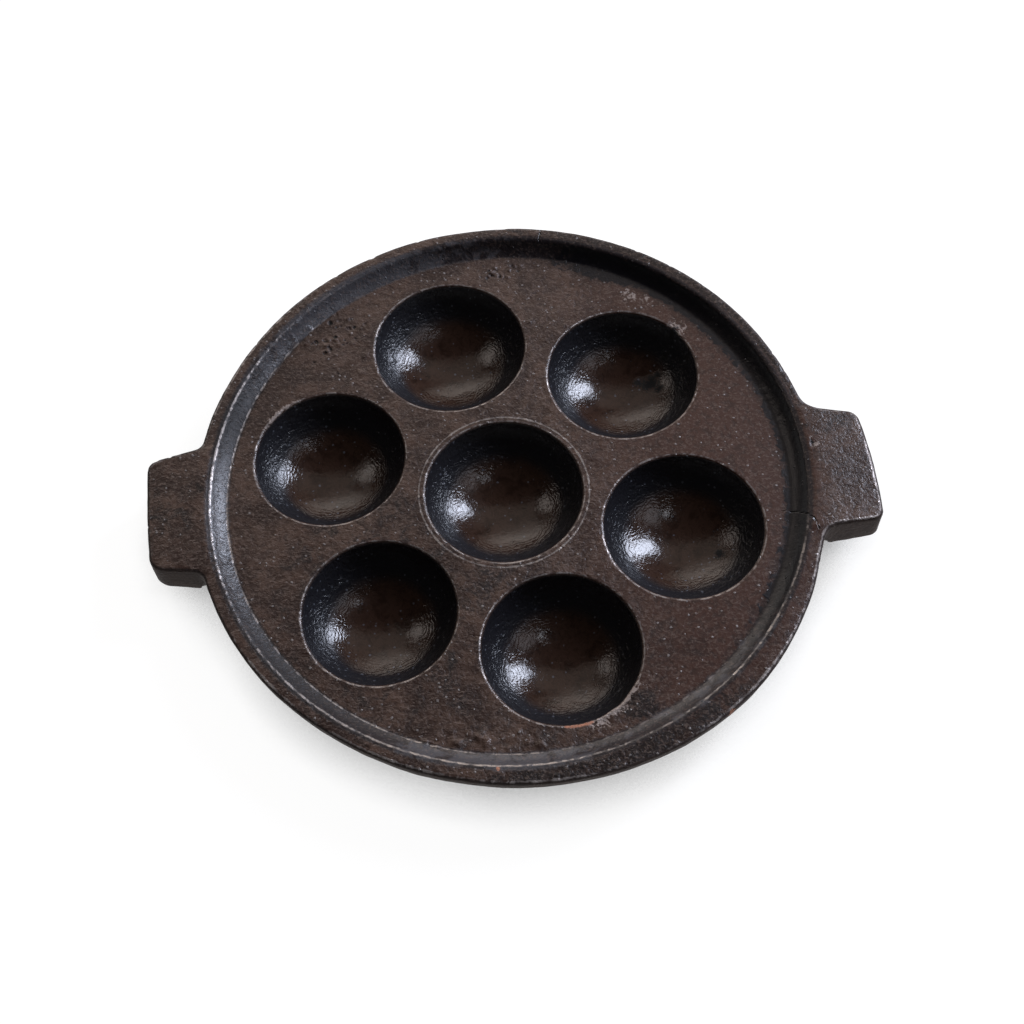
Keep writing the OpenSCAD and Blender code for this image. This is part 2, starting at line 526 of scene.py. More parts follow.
@dataclass(frozen=True)
class Lug:
    """A side lug in plan: a short tab with rounded corners and fillets where it leaves the rim.

    The first of each pair belongs to the side that comes first going round anticlockwise.
    """

    bearing: float
    reach: float
    end_w: float
    end_tilt: float
    flares: tuple[float, float]
    corners: tuple[float, float]
    fillets: tuple[float, float]
    crown: float

    def outline(self, rim_r: float) -> np.ndarray:
        """The lug's edge from rim to rim, anticlockwise.

        Args:
            rim_r: Radius of the rim.

        Returns:
            Points in plan, one a row.
        """
        middle = self.reach * unit(self.bearing)
        facing = self.bearing + self.end_tilt
        out, along = unit(facing), unit(facing + 90)
        pieces: list[np.ndarray] = []
        for side, flare, corner, fillet in zip(
            (-1, 1), self.flares, self.corners, self.fillets, strict=True
        ):
            tip = middle + side * along * self.end_w / 2
            back = -unit(facing - side * flare)
            away = side * np.array([back[1], -back[0]])
            base = tip + fillet * away
            half = base @ back
            run = -half - math.sqrt(half**2 - base @ base + (rim_r + fillet) ** 2)
            centre = base + run * back
            on_side, on_rim = centre - fillet * away, centre * rim_r / (rim_r + fillet)
            cut = corner * math.tan(math.radians(90 - flare) / 2)
            on_flank, on_end = tip + cut * back, tip - side * along * cut
            root = arc(tuple(on_rim), tuple(on_side), side * fillet, steps=12)
            tab = arc(tuple(on_flank), tuple(on_end), -side * corner, steps=12)
            pieces.append(np.vstack([root, tab]) if side < 0 else np.vstack([tab[::-1], root[::-1]]))
        start, end = pieces[0][-1], pieces[1][0]
        share = np.linspace(0, 1, 12)[1:-1, None]
        bow = start + (end - start) * share + out * self.crown * 4 * share * (1 - share)
        return np.vstack([pieces[0], bow, pieces[1]])


class MarkKind(Enum):
    """What a mark on the casting is."""

    PIT = "pit"
    NUB = "nub"
    EROSION = "erosion"
    RUST = "rust"
    SOOT = "soot"
    PALE = "pale"


@dataclass(frozen=True)
class Mark:
    """A mark at a place in plan, with its radius and its strength."""

    kind: MarkKind
    x: float
    y: float
    radius: float
    strength: float = 1.0


@dataclass(frozen=True)
class Stretch:
    """A stretch of the rim: the bearing of its middle, how far it spreads in degrees, its strength."""

    bearing: float
    spread: float
    strength: float

    def at(self, bearings: np.ndarray) -> np.ndarray:
        """Its strength at bearings in degrees, fading out to both sides."""
        off = (bearings - self.bearing + 180) % 360 - 180
        return self.strength * np.exp(-0.5 * (off / self.spread) ** 2)


def cluster(
    kind: MarkKind, x: float, y: float, spread: tuple[float, float], count: int, seed: int
) -> list[Mark]:
    """Scatters small marks of one kind.

    Args:
        kind: What they are.
        x: Middle of the cluster along X.
        y: Middle of the cluster along Y.
        spread: How far they scatter along X and Y.
        count: How many there are.
        seed: Seed of the random places.

    Returns:
        The marks.
    """
    draw = np.random.default_rng(seed)
    places = draw.normal(size=(count, 2)) * spread + (x, y)
    radii = draw.uniform(0.5, 1.15, count)
    return [
        Mark(kind, float(px), float(py), float(r), float(draw.uniform(0.5, 1)))
        for (px, py), r in zip(places, radii, strict=True)
    ]


def along_lip(
    kind: MarkKind, cup: Cup, bearings: tuple[float, float], radius: float, strength: float
) -> list[Mark]:
    """Strings small marks along a stretch of a cup's lip.

    Args:
        kind: What they are.
        cup: The cup.
        bearings: Where the stretch starts and ends, in degrees about the cup's axis.
        radius: Radius of each mark.
        strength: Strength of each mark.

    Returns:
        The marks, less than a radius apart.
    """
    run = cup.lip + 0.7
    count = math.ceil(math.radians(bearings[1] - bearings[0]) * run / (0.8 * radius)) + 1
    places = cup.centre + run * unit(np.linspace(*bearings, count))
    return [Mark(kind, float(x), float(y), radius, strength) for x, y in places]


@dataclass(frozen=True)
class Waviness:
    """Height of the relief on one skin, in millimetres, and the size of its lumps."""

    lumps: tuple[tuple[float, float], ...]


@dataclass(frozen=True)
class SandCastRelief:
    """The relief of a sand casting that was never ground: waves, lumps, pits and worn edges."""

    sizes: PanSizes
    cups: tuple[Cup, ...]
    marks: tuple[Mark, ...]
    seed: int = 11

    WAVES = {
        Skin.CUP: Waviness(((30, 0.10), (9, 0.07), (4.2, 0.045))),
        Skin.PLATE: Waviness(((55, 0.10), (17, 0.05), (6, 0.025), (2.6, 0.012))),
        Skin.COVE: Waviness(((30, 0.10), (11, 0.08), (4.5, 0.05), (2.2, 0.03))),
        Skin.RIM: Waviness(((40, 0.12), (12, 0.08), (4.5, 0.05), (2.2, 0.03))),
        Skin.SIDE: Waviness(((34, 0.22), (12, 0.14), (5, 0.07), (2.4, 0.04))),
        Skin.UNDER: Waviness(((50, 0.20), (14, 0.14), (5.5, 0.12))),
    }
    BULGES = (
        Stretch(-52, 18, 1.9),
        Stretch(-118, 18, -0.9),
        Stretch(-20, 4, -0.8),
        Stretch(18, 16, -1.5),
        Stretch(54, 9, -0.45),
        Stretch(132, 18, 0.75),
        Stretch(165, 7, 0.4),
    )

    def displaced(self, shell: Shell) -> np.ndarray:
        """Moves the skin in and out along its normals.

        Args:
            shell: The smooth skin.

        Returns:
            The new places of its points.
        """
        points, normals = shell.points, shell.normals()
        move = np.zeros(len(points))
        sizes = sorted({size for wave in self.WAVES.values() for size, _ in wave.lumps})
        for i, size in enumerate(sizes):
            height = np.array([dict(self.WAVES[skin].lumps).get(size, 0.0) for skin in Skin])
            weight = self._blend(shell, height)
            move += weight * GradientNoise(self.seed + i).at(points, size)
        move += self._nicks(shell)
        move += self._marks(shell)
        moved = points + normals * move[:, None]
        return self._out_of_round(moved)

    def _blend(self, shell: Shell, per_skin: np.ndarray) -> np.ndarray:
        """Gives each point its skin's value, evened out across the borders of the skins."""
        value = per_skin[shell.skins].astype(float)
        for _ in range(3):
            total, count = np.zeros(len(value)), np.zeros(len(value))
            for corners in shell.faces:
                mean = value[corners].mean(axis=1)
                for column in corners.T:
                    np.add.at(total, column, mean)
                    np.add.at(count, column, 1)
            value = total / np.maximum(count, 1)
        return value

    def _nicks(self, shell: Shell) -> np.ndarray:
        """Small nicks along the rim's and the lugs' outer edges."""
        points = shell.points
        edge = (shell.skins == Skin.SIDE) & (points[:, 2] > self.sizes.rim_top - 3)
        fine = GradientNoise(self.seed + 41).at(points, 1.7)
        raw = GradientNoise(self.seed + 40).at(points, 3.4) + 0.5 * fine
        return np.where(edge, -0.42 * smooth(0.35, 0.95, raw), 0.0)

    def _marks(self, shell: Shell) -> np.ndarray:
        """Depth of the pits, height of the nubs and unevenness of the eroded lips."""
        points = shell.points
        move = np.zeros(len(points))
        rough = GradientNoise(self.seed + 50).at(points, 1.6)
        top = (shell.skins != Skin.UNDER) & (shell.skins != Skin.SIDE)
        for mark in self.marks:
            away = np.hypot(points[:, 0] - mark.x, points[:, 1] - mark.y)
            near = top & (away < 2.2 * mark.radius)
            out = away[near] / mark.radius
            bell = np.exp(-(out**2) * 1.6)
            if mark.kind is MarkKind.PIT:
                lip = 0.14 * np.exp(-((out - 1.1) ** 2) * 9)
                move[near] += mark.strength * (lip - 0.5 * bell)
            elif mark.kind is MarkKind.NUB:
                move[near] += 0.62 * mark.strength * bell
            elif mark.kind is MarkKind.EROSION:
                move[near] += mark.strength * bell * (0.5 * rough[near] - 0.28)
        return move

    def _out_of_round(self, points: np.ndarray) -> np.ndarray:
        """Shifts the rim's outside a little in or out, as the pattern was not quite round."""
        radius = np.maximum(np.hypot(points[:, 0], points[:, 1]), 1e-6)
        bearing = np.degrees(np.arctan2(points[:, 1], points[:, 0]))
        shift = sum(bulge.at(bearing) for bulge in self.BULGES)
        s = self.sizes
        shift = shift * smooth(s.brow_r + 0.6, s.rim_r - 1.5, radius)
        shift = shift * smooth(s.rim_r + 6.0, s.rim_r + 1.0, radius)
        away = points[:, :2] / radius[:, None]
        return points + np.column_stack([away * shift[:, None], np.zeros(len(points))])


@dataclass(frozen=True)
class Masks:
    """Works out where each kind of finish lies, as one value a point for the material to read.

    Thin lines are stored as distances, so that the material can draw them finer than the mesh is.
    """

    sizes: PanSizes
    cups: tuple[Cup, ...]
    marks: tuple[Mark, ...]
    cracks: tuple[tuple[tuple[float, float], ...], ...]

    # Stretches where a painted highlight runs along the cove's concave foot.
    FOOT_HIGHLIGHT = (Stretch(178, 34, 1.0), Stretch(-115, 32, 0.85), Stretch(-55, 16, 0.45))
    BROW_WEAR = (
        Stretch(172, 30, 1.0),
        Stretch(-110, 42, 0.9),
        Stretch(-42, 18, 0.8),
        Stretch(-23, 9, 0.8),
    )
    EDGE_WEAR = (
        Stretch(-139, 7, 0.95),
        Stretch(-112, 11, 0.85),
        Stretch(-86, 10, 0.8),
        Stretch(-45, 14, 0.95),
        Stretch(-4, 12, 0.95),
        Stretch(-20, 6, 0.9),
        Stretch(150, 17, 0.95),
        Stretch(184, 9, 0.35),
        Stretch(80, 30, 0.3),
    )
    # Stretches of the cove painted a lighter grey: partly polished iron, partly a painted reflection of
    # the window.
    COVE_POLISH_AND_REFLECTION = (
        Stretch(-94, 16, 0.8),
        Stretch(-50, 15, 0.5),
        Stretch(-177, 9, 1.0),
        Stretch(124, 22, 1.0),
    )
    COVE_DULL = (Stretch(162, 9, 1.0), Stretch(-138, 12, 0.8))
    LAND_SHADE = (Stretch(48, 32, 1.0), Stretch(-72, 20, 0.95), Stretch(183, 8, 0.5))
    # The bubbly strip, whose pale specks partly stand in as painted glints of bumps too small for the
    # mesh.
    BUBBLES = Stretch(-103, 15, 1.0)

    def values(self, shell: Shell, corner: np.ndarray) -> dict[str, np.ndarray]:
        """The masks, by the names that the material reads.

        Args:
            shell: The smooth skin.
            corner: Numbers of the points where the rim's land turns into its outer edge.

        Returns:
            Values a point for each mask.
        """
        points, s = shell.points, self.sizes
        off = points[:, :2] - s.hollow
        radius = np.hypot(off[:, 0], off[:, 1])
        bearing = np.degrees(np.arctan2(off[:, 1], off[:, 0]))
        top = shell.skins != Skin.UNDER
        reach = np.full(len(points), 99.0)
        cup_r = np.full(len(points), 60.0)
        for cup in self.cups:
            away = np.hypot(points[:, 0] - cup.x, points[:, 1] - cup.y)
            closer = away - cup.lip < reach
            reach = np.where(closer, away - cup.lip, reach)
            cup_r = np.where(closer, away, cup_r)
        centre = self.cups[0]
        from_centre = np.hypot(points[:, 0] - centre.x, points[:, 1] - centre.y)
        bubbly = smooth(88.5, 92, radius) * smooth(99, 97.5, radius)
        near = {kind: self._near(points, top, kind) for kind in MarkKind}
        in_cup = np.where(top, smooth(0.55, -0.35, reach), 0.0)
        return {
            "in_cup": in_cup,
            "steep": np.where(top, smooth(-11.0, -5.8, reach) * in_cup, 0.0),
            "cup_r": cup_r,
            "lip_gap": np.where(top, reach, 50.0),
            "centre_cup": np.where(from_centre < centre.lip + 5, 1.0, 0.0),
            "hollow_r": np.where(top, radius, 0.0),
            "edge_gap": self._edge_gap(shell, corner),
            "crack_gap": self._crack_gap(points, top),
            "cove": np.where(shell.skins == Skin.COVE, 1.0, 0.0),
            "foot_highlight": self._along(self.FOOT_HIGHLIGHT, bearing),
            "brow_wear": self._along(self.BROW_WEAR, bearing),
            "edge_wear": self._along(self.EDGE_WEAR, bearing),
            "oil": self._oil_and_shade(radius, bearing, top),
            "rust": near[MarkKind.RUST],
            "soot": np.maximum(near[MarkKind.SOOT], 0.7 * near[MarkKind.PIT]),
            "pale": np.maximum(near[MarkKind.PALE], 0.6 * near[MarkKind.EROSION]),
            "under": np.where(shell.skins == Skin.UNDER, 1.0, 0.0),
            "side": np.where(shell.skins == Skin.SIDE, 1.0, 0.0),
            "calm": smooth(5, 70, points[:, 0]) * smooth(s.rim_r + 5, s.rim_inner_r, radius),
            "polish_and_reflection": self._along(self.COVE_POLISH_AND_REFLECTION, bearing),
            "dull": self._along(self.COVE_DULL, bearing),
            "shade": self._shade(shell, bearing),
            "bubbles": self.BUBBLES.at(bearing) * bubbly,
        }

    def _shade(self, shell: Shell, bearing: np.ndarray) -> np.ndarray:
        """Where the plate is darker: the near side, the lower left, parts of the land, a patch by a cup.
        """
        points = shell.points
        near = 0.36 * smooth(15, -80, points[:, 1])
        left = 0.46 * smooth(75, 25, np.hypot(points[:, 0] + 38, points[:, 1] + 42))
        land = np.where(shell.skins == Skin.RIM, self._along(self.LAND_SHADE, bearing), 0.0)
        patch = 0.85 * smooth(9, 3, np.hypot(points[:, 0] - 37.5, points[:, 1] + 83.0))
        return np.maximum.reduce([near, left, land, patch])

    @staticmethod
    def _along(stretches: tuple[Stretch, ...], bearing: np.ndarray) -> np.ndarray:
        """Strength of the strongest stretch at each bearing."""
        return np.max([stretch.at(bearing) for stretch in stretches], axis=0)

    @staticmethod
    def _edge_gap(shell: Shell, corner: np.ndarray) -> np.ndarray:
        """Distance in plan from the land's outer corner, negative on the rounded edge and below it."""
        tree = KDTree(len(corner))
        for i, number in enumerate(corner):
            tree.insert((*shell.points[number, :2], 0), i)
        tree.balance()
        gap = np.full(len(shell.points), 50.0)
        for skin, sign in ((Skin.RIM, 1), (Skin.SIDE, -1)):
            for i in np.nonzero(shell.skins == skin)[0]:
                gap[i] = sign * tree.find((*shell.points[i, :2], 0))[2]
        side = shell.skins == Skin.SIDE
        gap[side] -= np.maximum(shell.points[corner[0], 2] - 1.0 - shell.points[side, 2], 0)
        return gap

    def _crack_gap(self, points: np.ndarray, top: np.ndarray) -> np.ndarray:
        """Distance in plan from the nearest crack of the casting's skin."""
        gap = np.full(len(points), 50.0)
        for crack in self.cracks:
            for start, end in zip(np.array(crack[:-1]), np.array(crack[1:]), strict=True):
                way = end - start
                share = np.clip((points[:, :2] - start) @ way / (way @ way), 0, 1)
                near = start + share[:, None] * way
                gap = np.minimum(gap, np.linalg.norm(points[:, :2] - near, axis=1))
        return np.where(top, gap, 50.0)

    def _oil_and_shade(self, radius: np.ndarray, bearing: np.ndarray, top: np.ndarray) -> np.ndarray:
        """The oily stain, partly painted shade: the cove from behind round to the right, and a ragged
        strip of plate.
        """
        # On the cove its black is partly painted shade; on the strip of plate it is the stain alone.
        along = smooth(84, 70, bearing) * smooth(-52, -20, bearing)
        behind = 3.0 * np.exp(-(((bearing - 68) / 8) ** 2))
        beside = 1.2 * np.exp(-(((bearing - 40) / 16) ** 2))
        strip = 1.4 + behind + beside
        inner = smooth(-strip - 2.6, 1.4 - strip, radius - self.sizes.plate_r)
        return np.where(top, along * inner * smooth(103.6, 102.2, radius), 0.0)

    def _near(self, points: np.ndarray, top: np.ndarray, kind: MarkKind) -> np.ndarray:
        """How near each point lies to a mark of one kind, from 0 to 1."""
        value = np.zeros(len(points))
        for mark in self.marks:
            if mark.kind is kind:
                away = np.hypot(points[:, 0] - mark.x, points[:, 1] - mark.y)
                reach = smooth(1.5 * mark.radius, 0.25 * mark.radius, away)
                value = np.maximum(value, mark.strength * reach)
        return np.where(top | (kind is MarkKind.RUST), value, 0.0)


Feed = bpy.types.NodeSocket | float | tuple[float, ...] | str
Socket = bpy.types.NodeSocket


def add_node(
    tree: bpy.types.NodeTree,
    kind: str,
    feeds: dict[str | int, Feed] | None = None,
    **settings: object,
) -> bpy.types.Node:
    """Adds a node with its settings and links.

    Args:
        tree: The material's or world's node tree.
        kind: Blender's name of the node's type, after ShaderNode.
        feeds: What each input takes, by its name or number: another node's output, a number, a
            vector or a hex colour.
        settings: Values of the node's own properties.

    Returns:
        The node.
    """
    made = tree.nodes.new(f"ShaderNode{kind}")
    for key, value in settings.items():
        setattr(made, key, value)
    for place, feed in (feeds or {}).items():
        if isinstance(feed, bpy.types.NodeSocket):
            tree.links.new(feed, made.inputs[place])
        else:
            made.inputs[place].default_value = linear_colour(feed) if isinstance(feed, str) else feed
    return made


@dataclass(frozen=True)
class Coat:
    """A colour laid over others: where it shows, its hex code or output, and how strongly at most."""

    share: Socket
    tint: Feed
    strength: float = 1.0


@dataclass(frozen=True)
class WearLine:
    """A pale line where a distance has one value, in millimetres: worn iron, at the cove's foot a
    painted highlight.

    The weight is the mask that says how strong the line is there (empty: as much as the lips), the
    distance is the mask that runs across the line, and half is half of the line's width.
    """

    weight: str
    distance: str
    middle: float
    half: float


@dataclass(frozen=True)
class SeasonedSandCastIron:
    """Grey iron cast in sand, never ground, under many burnt-on coats of cooking oil.

    The coats make it dark and satin: red-brown on the plate that is wiped, black and glossy in the
    cups that fry. The grain of the moulding sand stands out as small bumps that catch the window,
    and pale worn edges, an oily stain, cracks of the skin and a little rust show through. The pale
    line at the cove's foot is a painted highlight, the specks' pale is partly painted glints, the
    cove's lighter grey partly a painted reflection and the stain's black on the cove partly painted
    shade.
    """

    plate_brown: str = "#5b463b"
    plate_dark: str = "#362620"
    plate_red: str = "#4b3127"
    plate_shade: str = "#211815"
    grain_light: str = "#77655b"
    pale_ash: str = "#a4958c"
    cup_floor: str = "#3f2d24"
    cup_dark: str = "#2b1c15"
    cup_wall: str = "#1f1f23"
    # Grey of the cups' specks, partly a painted glint.
    cup_speck_and_glint: str = "#7b7f88"
    cove_dark: str = "#262022"
    # Lighter grey of the cove, partly a painted reflection of the window.
    cove_polish_and_reflection: str = "#4a484b"
    # Halo and black of the oily stain; on the cove they are also painted shade.
    oil_and_shade_halo: str = "#1a1315"
    oil_and_shade_black: str = "#0c0910"
    # Pale bare iron; along the cove's foot and in the specks it is also a painted highlight.
    worn_iron_and_highlight: str = "#a39b96"
    rust_orange: str = "#bd8468"
    soot_black: str = "#0a0807"
    underside: str = "#1e1916"
    plate_roughness: float = 0.38
    calm_roughness: float = 0.31
    cove_roughness: float = 0.31
    cup_roughness: float = 0.15
    wall_roughness: float = 0.3
    oil_roughness: float = 0.33
    side_roughness: float = 0.8
    stroke_roughness: float = 0.34
    dull_roughness: float = 0.6
    soot_roughness: float = 0.8
    rust_roughness: float = 0.85
    under_roughness: float = 0.6
    worn_metallic: float = 0.7
    lip_wear: float = 0.72
    ring_wander: float = 34.0
    # Moulding sand is 0.2 to 0.5 mm; its grain is drawn at 1.1 mm, about the finest that shows.
    grain_mm: float = 1.1
    # Clots of sand that stood out of the mould's face, and specks of slag that the iron kept.
    lump_mm: float = 2.6
    speck_mm: float = 2.2
    # The oil burns on in patches, the fire mottles the plate, and crust of batter dots the cups.
    patch_mm: float = 5.5
    mottle_mm: float = 15.0
    crust_mm: float = 1.9
    # The scraper's rings in the cups are finer than half a millimetre, and are drawn coarser too.
    ripple_mm: float = 1.25
    # How far the relief stands out or lies deep, in millimetres.
    lump_height: float = 0.34
    grain_height: float = 0.2
    stroke_height: float = 0.05
    speck_height: float = 0.12
    crack_depth: float = 0.35

    WEAR_LINES = (
        WearLine("", "lip_gap", 0.6, 0.5),
        WearLine("centre_cup", "lip_gap", 2.2, 0.55),
        # The line at the cove's foot is a painted highlight; the others are worn iron.
        WearLine("foot_highlight", "hollow_r", PanSizes().plate_r + 0.1, 0.6),
        WearLine("brow_wear", "hollow_r", PanSizes().rim_inner_r + 0.7, 0.7),
        WearLine("edge_wear", "edge_gap", -0.1, 0.75),
    )
    MASKS = (
        *("in_cup", "steep", "cup_r", "lip_gap", "centre_cup", "hollow_r", "edge_gap", "crack_gap"),
        *("cove", "foot_highlight", "brow_wear", "edge_wear", "oil", "rust", "soot", "pale", "under", "side"),
        *("calm", "polish_and_reflection", "dull", "shade", "bubbles"),
    )

    def make(self, name: str) -> bpy.types.Material:
        """Makes the material.

        Args:
            name: Its name.

        Returns:
            The material, which reads the masks on the mesh.
        """
        material = bpy.data.materials.new(name)
        material.use_nodes = True
        tree = material.node_tree
        tree.nodes.clear()
        place = add_node(tree, "TexCoord").outputs["Object"]
        scaled = add_node(tree, "VectorMath", {0: place, "Scale": 1 / MM}, operation="SCALE")
        in_mm = scaled.outputs[0]
        mask = {
            key: add_node(tree, "Attribute", attribute_name=key).outputs["Fac"] for key in self.MASKS
        }
        noise = self._noise(tree, in_mm)
        strokes = self._strokes(tree, in_mm)
        specks = self._specks(tree, in_mm, mask, noise["crust"])
        # Bare iron, and the painted highlight along the cove's foot.
        worn = self._worn(tree, mask, noise["lump"])
        crack = self._line(tree, mask["crack_gap"], 0.0, 0.5)
        bare = add_node(tree, "Math", {0: worn, 1: self.worn_metallic}, operation="MULTIPLY")
        shader = add_node(
            tree,
            "BsdfPrincipled",
            {
                "Base Color": self._colour(tree, mask, noise, strokes, specks, worn, crack),
                "Roughness": self._roughness(tree, mask, noise["patch"], strokes),
                "Normal": self._bump(tree, mask, noise, strokes, specks, crack),
                "Metallic": bare.outputs[0],
                "IOR": 1.5,
            },
        )
        add_node(tree, "OutputMaterial", {"Surface": shader.outputs[0]})
        return material

    def _noise(self, tree: bpy.types.NodeTree, in_mm: Socket) -> dict[str, Socket]:
        """The uneven skins of sand, soot and oil, from the finest grain to the slow mottle."""
        made = {}
        for key, size, detail, rough, bend in (
            ("grain", self.grain_mm, 2.0, 0.6, 0.5),
            ("lump", self.lump_mm, 2.0, 0.5, 0.6),
            ("mottle", self.mottle_mm, 4.0, 0.6, 0.4),
            ("crust", self.crust_mm, 3.0, 0.55, 1.2),
            ("patch", self.patch_mm, 3.0, 0.6, 0.5),
        ):
            feeds = {"Vector": in_mm, "Scale": 1 / size, "Detail": detail}
            feeds |= {"Roughness": rough, "Distortion": bend}
            made[key] = add_node(tree, "TexNoise", feeds).outputs["Fac"]
        return made

    def _line(self, tree: bpy.types.NodeTree, distance: Socket, middle: float, half: float) -> Socket:
        """A soft line where a distance has its middle value.

        Args:
            tree: The material's node tree.
            distance: The distance that runs across the line, in millimetres.
            middle: Its value in the middle of the line.
            half: Half of the line's width.

        Returns:
            One in the middle, zero outside the line.
        """
        off = add_node(tree, "Math", {0: distance, 1: middle}, operation="SUBTRACT").outputs[0]
        away = add_node(tree, "Math", {0: off}, operation="ABSOLUTE").outputs[0]
        feeds = {"Value": away, "From Min": half, "From Max": 0.2 * half}
        return add_node(tree, "MapRange", feeds, interpolation_type="SMOOTHSTEP").outputs[0]

    def _ragged(self, tree: bpy.types.NodeTree, soft: Socket, noise: Socket, share: float) -> Socket:
        """Gives a soft mask a ragged edge.

        Args:
            tree: The material's node tree.
            soft: The mask, from 0 to 1.
            noise: The noise that tears the edge.
            share: How far the noise moves the edge, as a share of the mask's range.

        Returns:
            The torn mask, zero wherever the soft one is.
        """
        feeds = {"Value": noise, "From Min": 0.3, "From Max": 0.7, "To Min": -share, "To Max": share}
        uneven = add_node(tree, "MapRange", feeds, interpolation_type="SMOOTHSTEP").outputs[0]
        moved = add_node(tree, "Math", {0: soft, 1: uneven}, operation="ADD").outputs[0]
        feeds = {"Value": moved, "From Min": 0.35, "From Max": 0.75}
        cut = add_node(tree, "MapRange", feeds, interpolation_type="SMOOTHSTEP").outputs[0]
        feeds = {"Value": soft, "From Min": 0.0, "From Max": 0.15}
        inside = add_node(tree, "MapRange", feeds, interpolation_type="SMOOTHSTEP").outputs[0]
        return add_node(tree, "Math", {0: cut, 1: inside}, operation="MULTIPLY").outputs[0]

    def _strokes(self, tree: bpy.types.NodeTree, in_mm: Socket) -> Socket:
        """Short fine strokes that the sand and the scraper left, lying three ways."""
        total: Feed = 0.0
        for turn, seed in ((0.35, 0.0), (1.3, 31.0), (2.5, 62.0)):
            feeds = {
                "Vector": in_mm,
                "Rotation": (0, 0, turn),
                "Location": (seed, seed, 0),
                "Scale": (0.5, 1.25, 0.8),
            }
            laid = add_node(tree, "Mapping", feeds).outputs[0]
            feeds = {"Vector": laid, "Scale": 1 / self.grain_mm, "Roughness": 0.5, "Distortion": 0.6}
            raw = add_node(tree, "TexNoise", {**feeds, "Detail": 2.0}).outputs["Fac"]
            feeds = {"Value": raw, "From Min": 0.6, "From Max": 0.76}
            line = add_node(tree, "MapRange", feeds, interpolation_type="SMOOTHSTEP").outputs[0]
            total = add_node(tree, "Math", {0: total, 1: line}, operation="MAXIMUM").outputs[0]
        return total

    def _specks(
        self, tree: bpy.types.NodeTree, in_mm: Socket, mask: dict[str, Socket], crust: Socket
    ) -> Socket:
        """Specks of slag whose pale is partly painted glints: sparse on the plate, many on walls and the
        bubbly strip.
        """
        feeds = {"Vector": in_mm, "Scale": 1 / self.speck_mm, "Randomness": 1.0}
        cells = add_node(tree, "TexVoronoi", feeds).outputs
        feeds = {0: crust, 1: 0.5, 2: cells["Distance"]}
        away = add_node(tree, "Math", feeds, operation="MULTIPLY_ADD").outputs[0]
        feeds = {"Value": away, "From Min": 0.46, "From Max": 0.34}
        dot = add_node(tree, "MapRange", feeds, interpolation_type="SMOOTHSTEP").outputs[0]
        lot = add_node(tree, "SeparateColor", {0: cells["Color"]}).outputs[0]
        walls = add_node(tree, "Math", {0: mask["steep"], 1: 0.45}, operation="MULTIPLY").outputs[0]
        dense = add_node(tree, "Math", {0: mask["bubbles"], 1: walls}, operation="MAXIMUM").outputs[0]
        luck = add_node(tree, "Math", {0: dense, 1: 0.55, 2: lot}, operation="MULTIPLY_ADD").outputs[0]
        chosen = add_node(tree, "Math", {0: luck, 1: 0.6}, operation="GREATER_THAN").outputs[0]
        return add_node(tree, "Math", {0: dot, 1: chosen}, operation="MULTIPLY").outputs[0]

    def _worn(self, tree: bpy.types.NodeTree, mask: dict[str, Socket], lump: Socket) -> Socket:
        """Where coats wore off lips and edges to the iron, and the painted highlight at the cove's foot.
        """
        whole: Feed = 0.0
        for wear in self.WEAR_LINES:
            line = self._line(tree, mask[wear.distance], wear.middle, wear.half)
            feeds = {0: mask[wear.weight] if wear.weight else self.lip_wear, 1: line}
            shown = add_node(tree, "Math", feeds, operation="MULTIPLY").outputs[0]
            whole = add_node(tree, "Math", {0: whole, 1: shown}, operation="MAXIMUM").outputs[0]
        feeds = {"Value": lump, "From Min": 0.34, "From Max": 0.66, "To Min": -0.35, "To Max": 0.3}
        broken = add_node(tree, "MapRange", feeds, interpolation_type="SMOOTHSTEP").outputs[0]
        uneven = add_node(tree, "Math", {0: whole, 1: broken}, operation="ADD").outputs[0]
        feeds = {"Value": uneven, "From Min": 0.3, "From Max": 1.15}
        return add_node(tree, "MapRange", feeds, interpolation_type="SMOOTHSTEP").outputs[0]

    @staticmethod
    def _laid(tree: bpy.types.NodeTree, ground: Feed, coats: tuple[Coat, ...]) -> Socket:
        """Lays coats of colour over a ground, one after another.

        Args:
            tree: The material's node tree.
            ground: The colour that they lie on, a hex code or an output.
            coats: The coats, the lowest first.

        Returns:
            The colour that shows.
        """
        for coat in coats:
            share = coat.share
            if coat.strength < 1:
                feeds = {0: share, 1: coat.strength}
                share = add_node(tree, "Math", feeds, operation="MULTIPLY").outputs[0]
            feeds = {0: share, 6: ground, 7: coat.tint}
            ground = add_node(tree, "Mix", feeds, data_type="RGBA").outputs[2]
        return ground

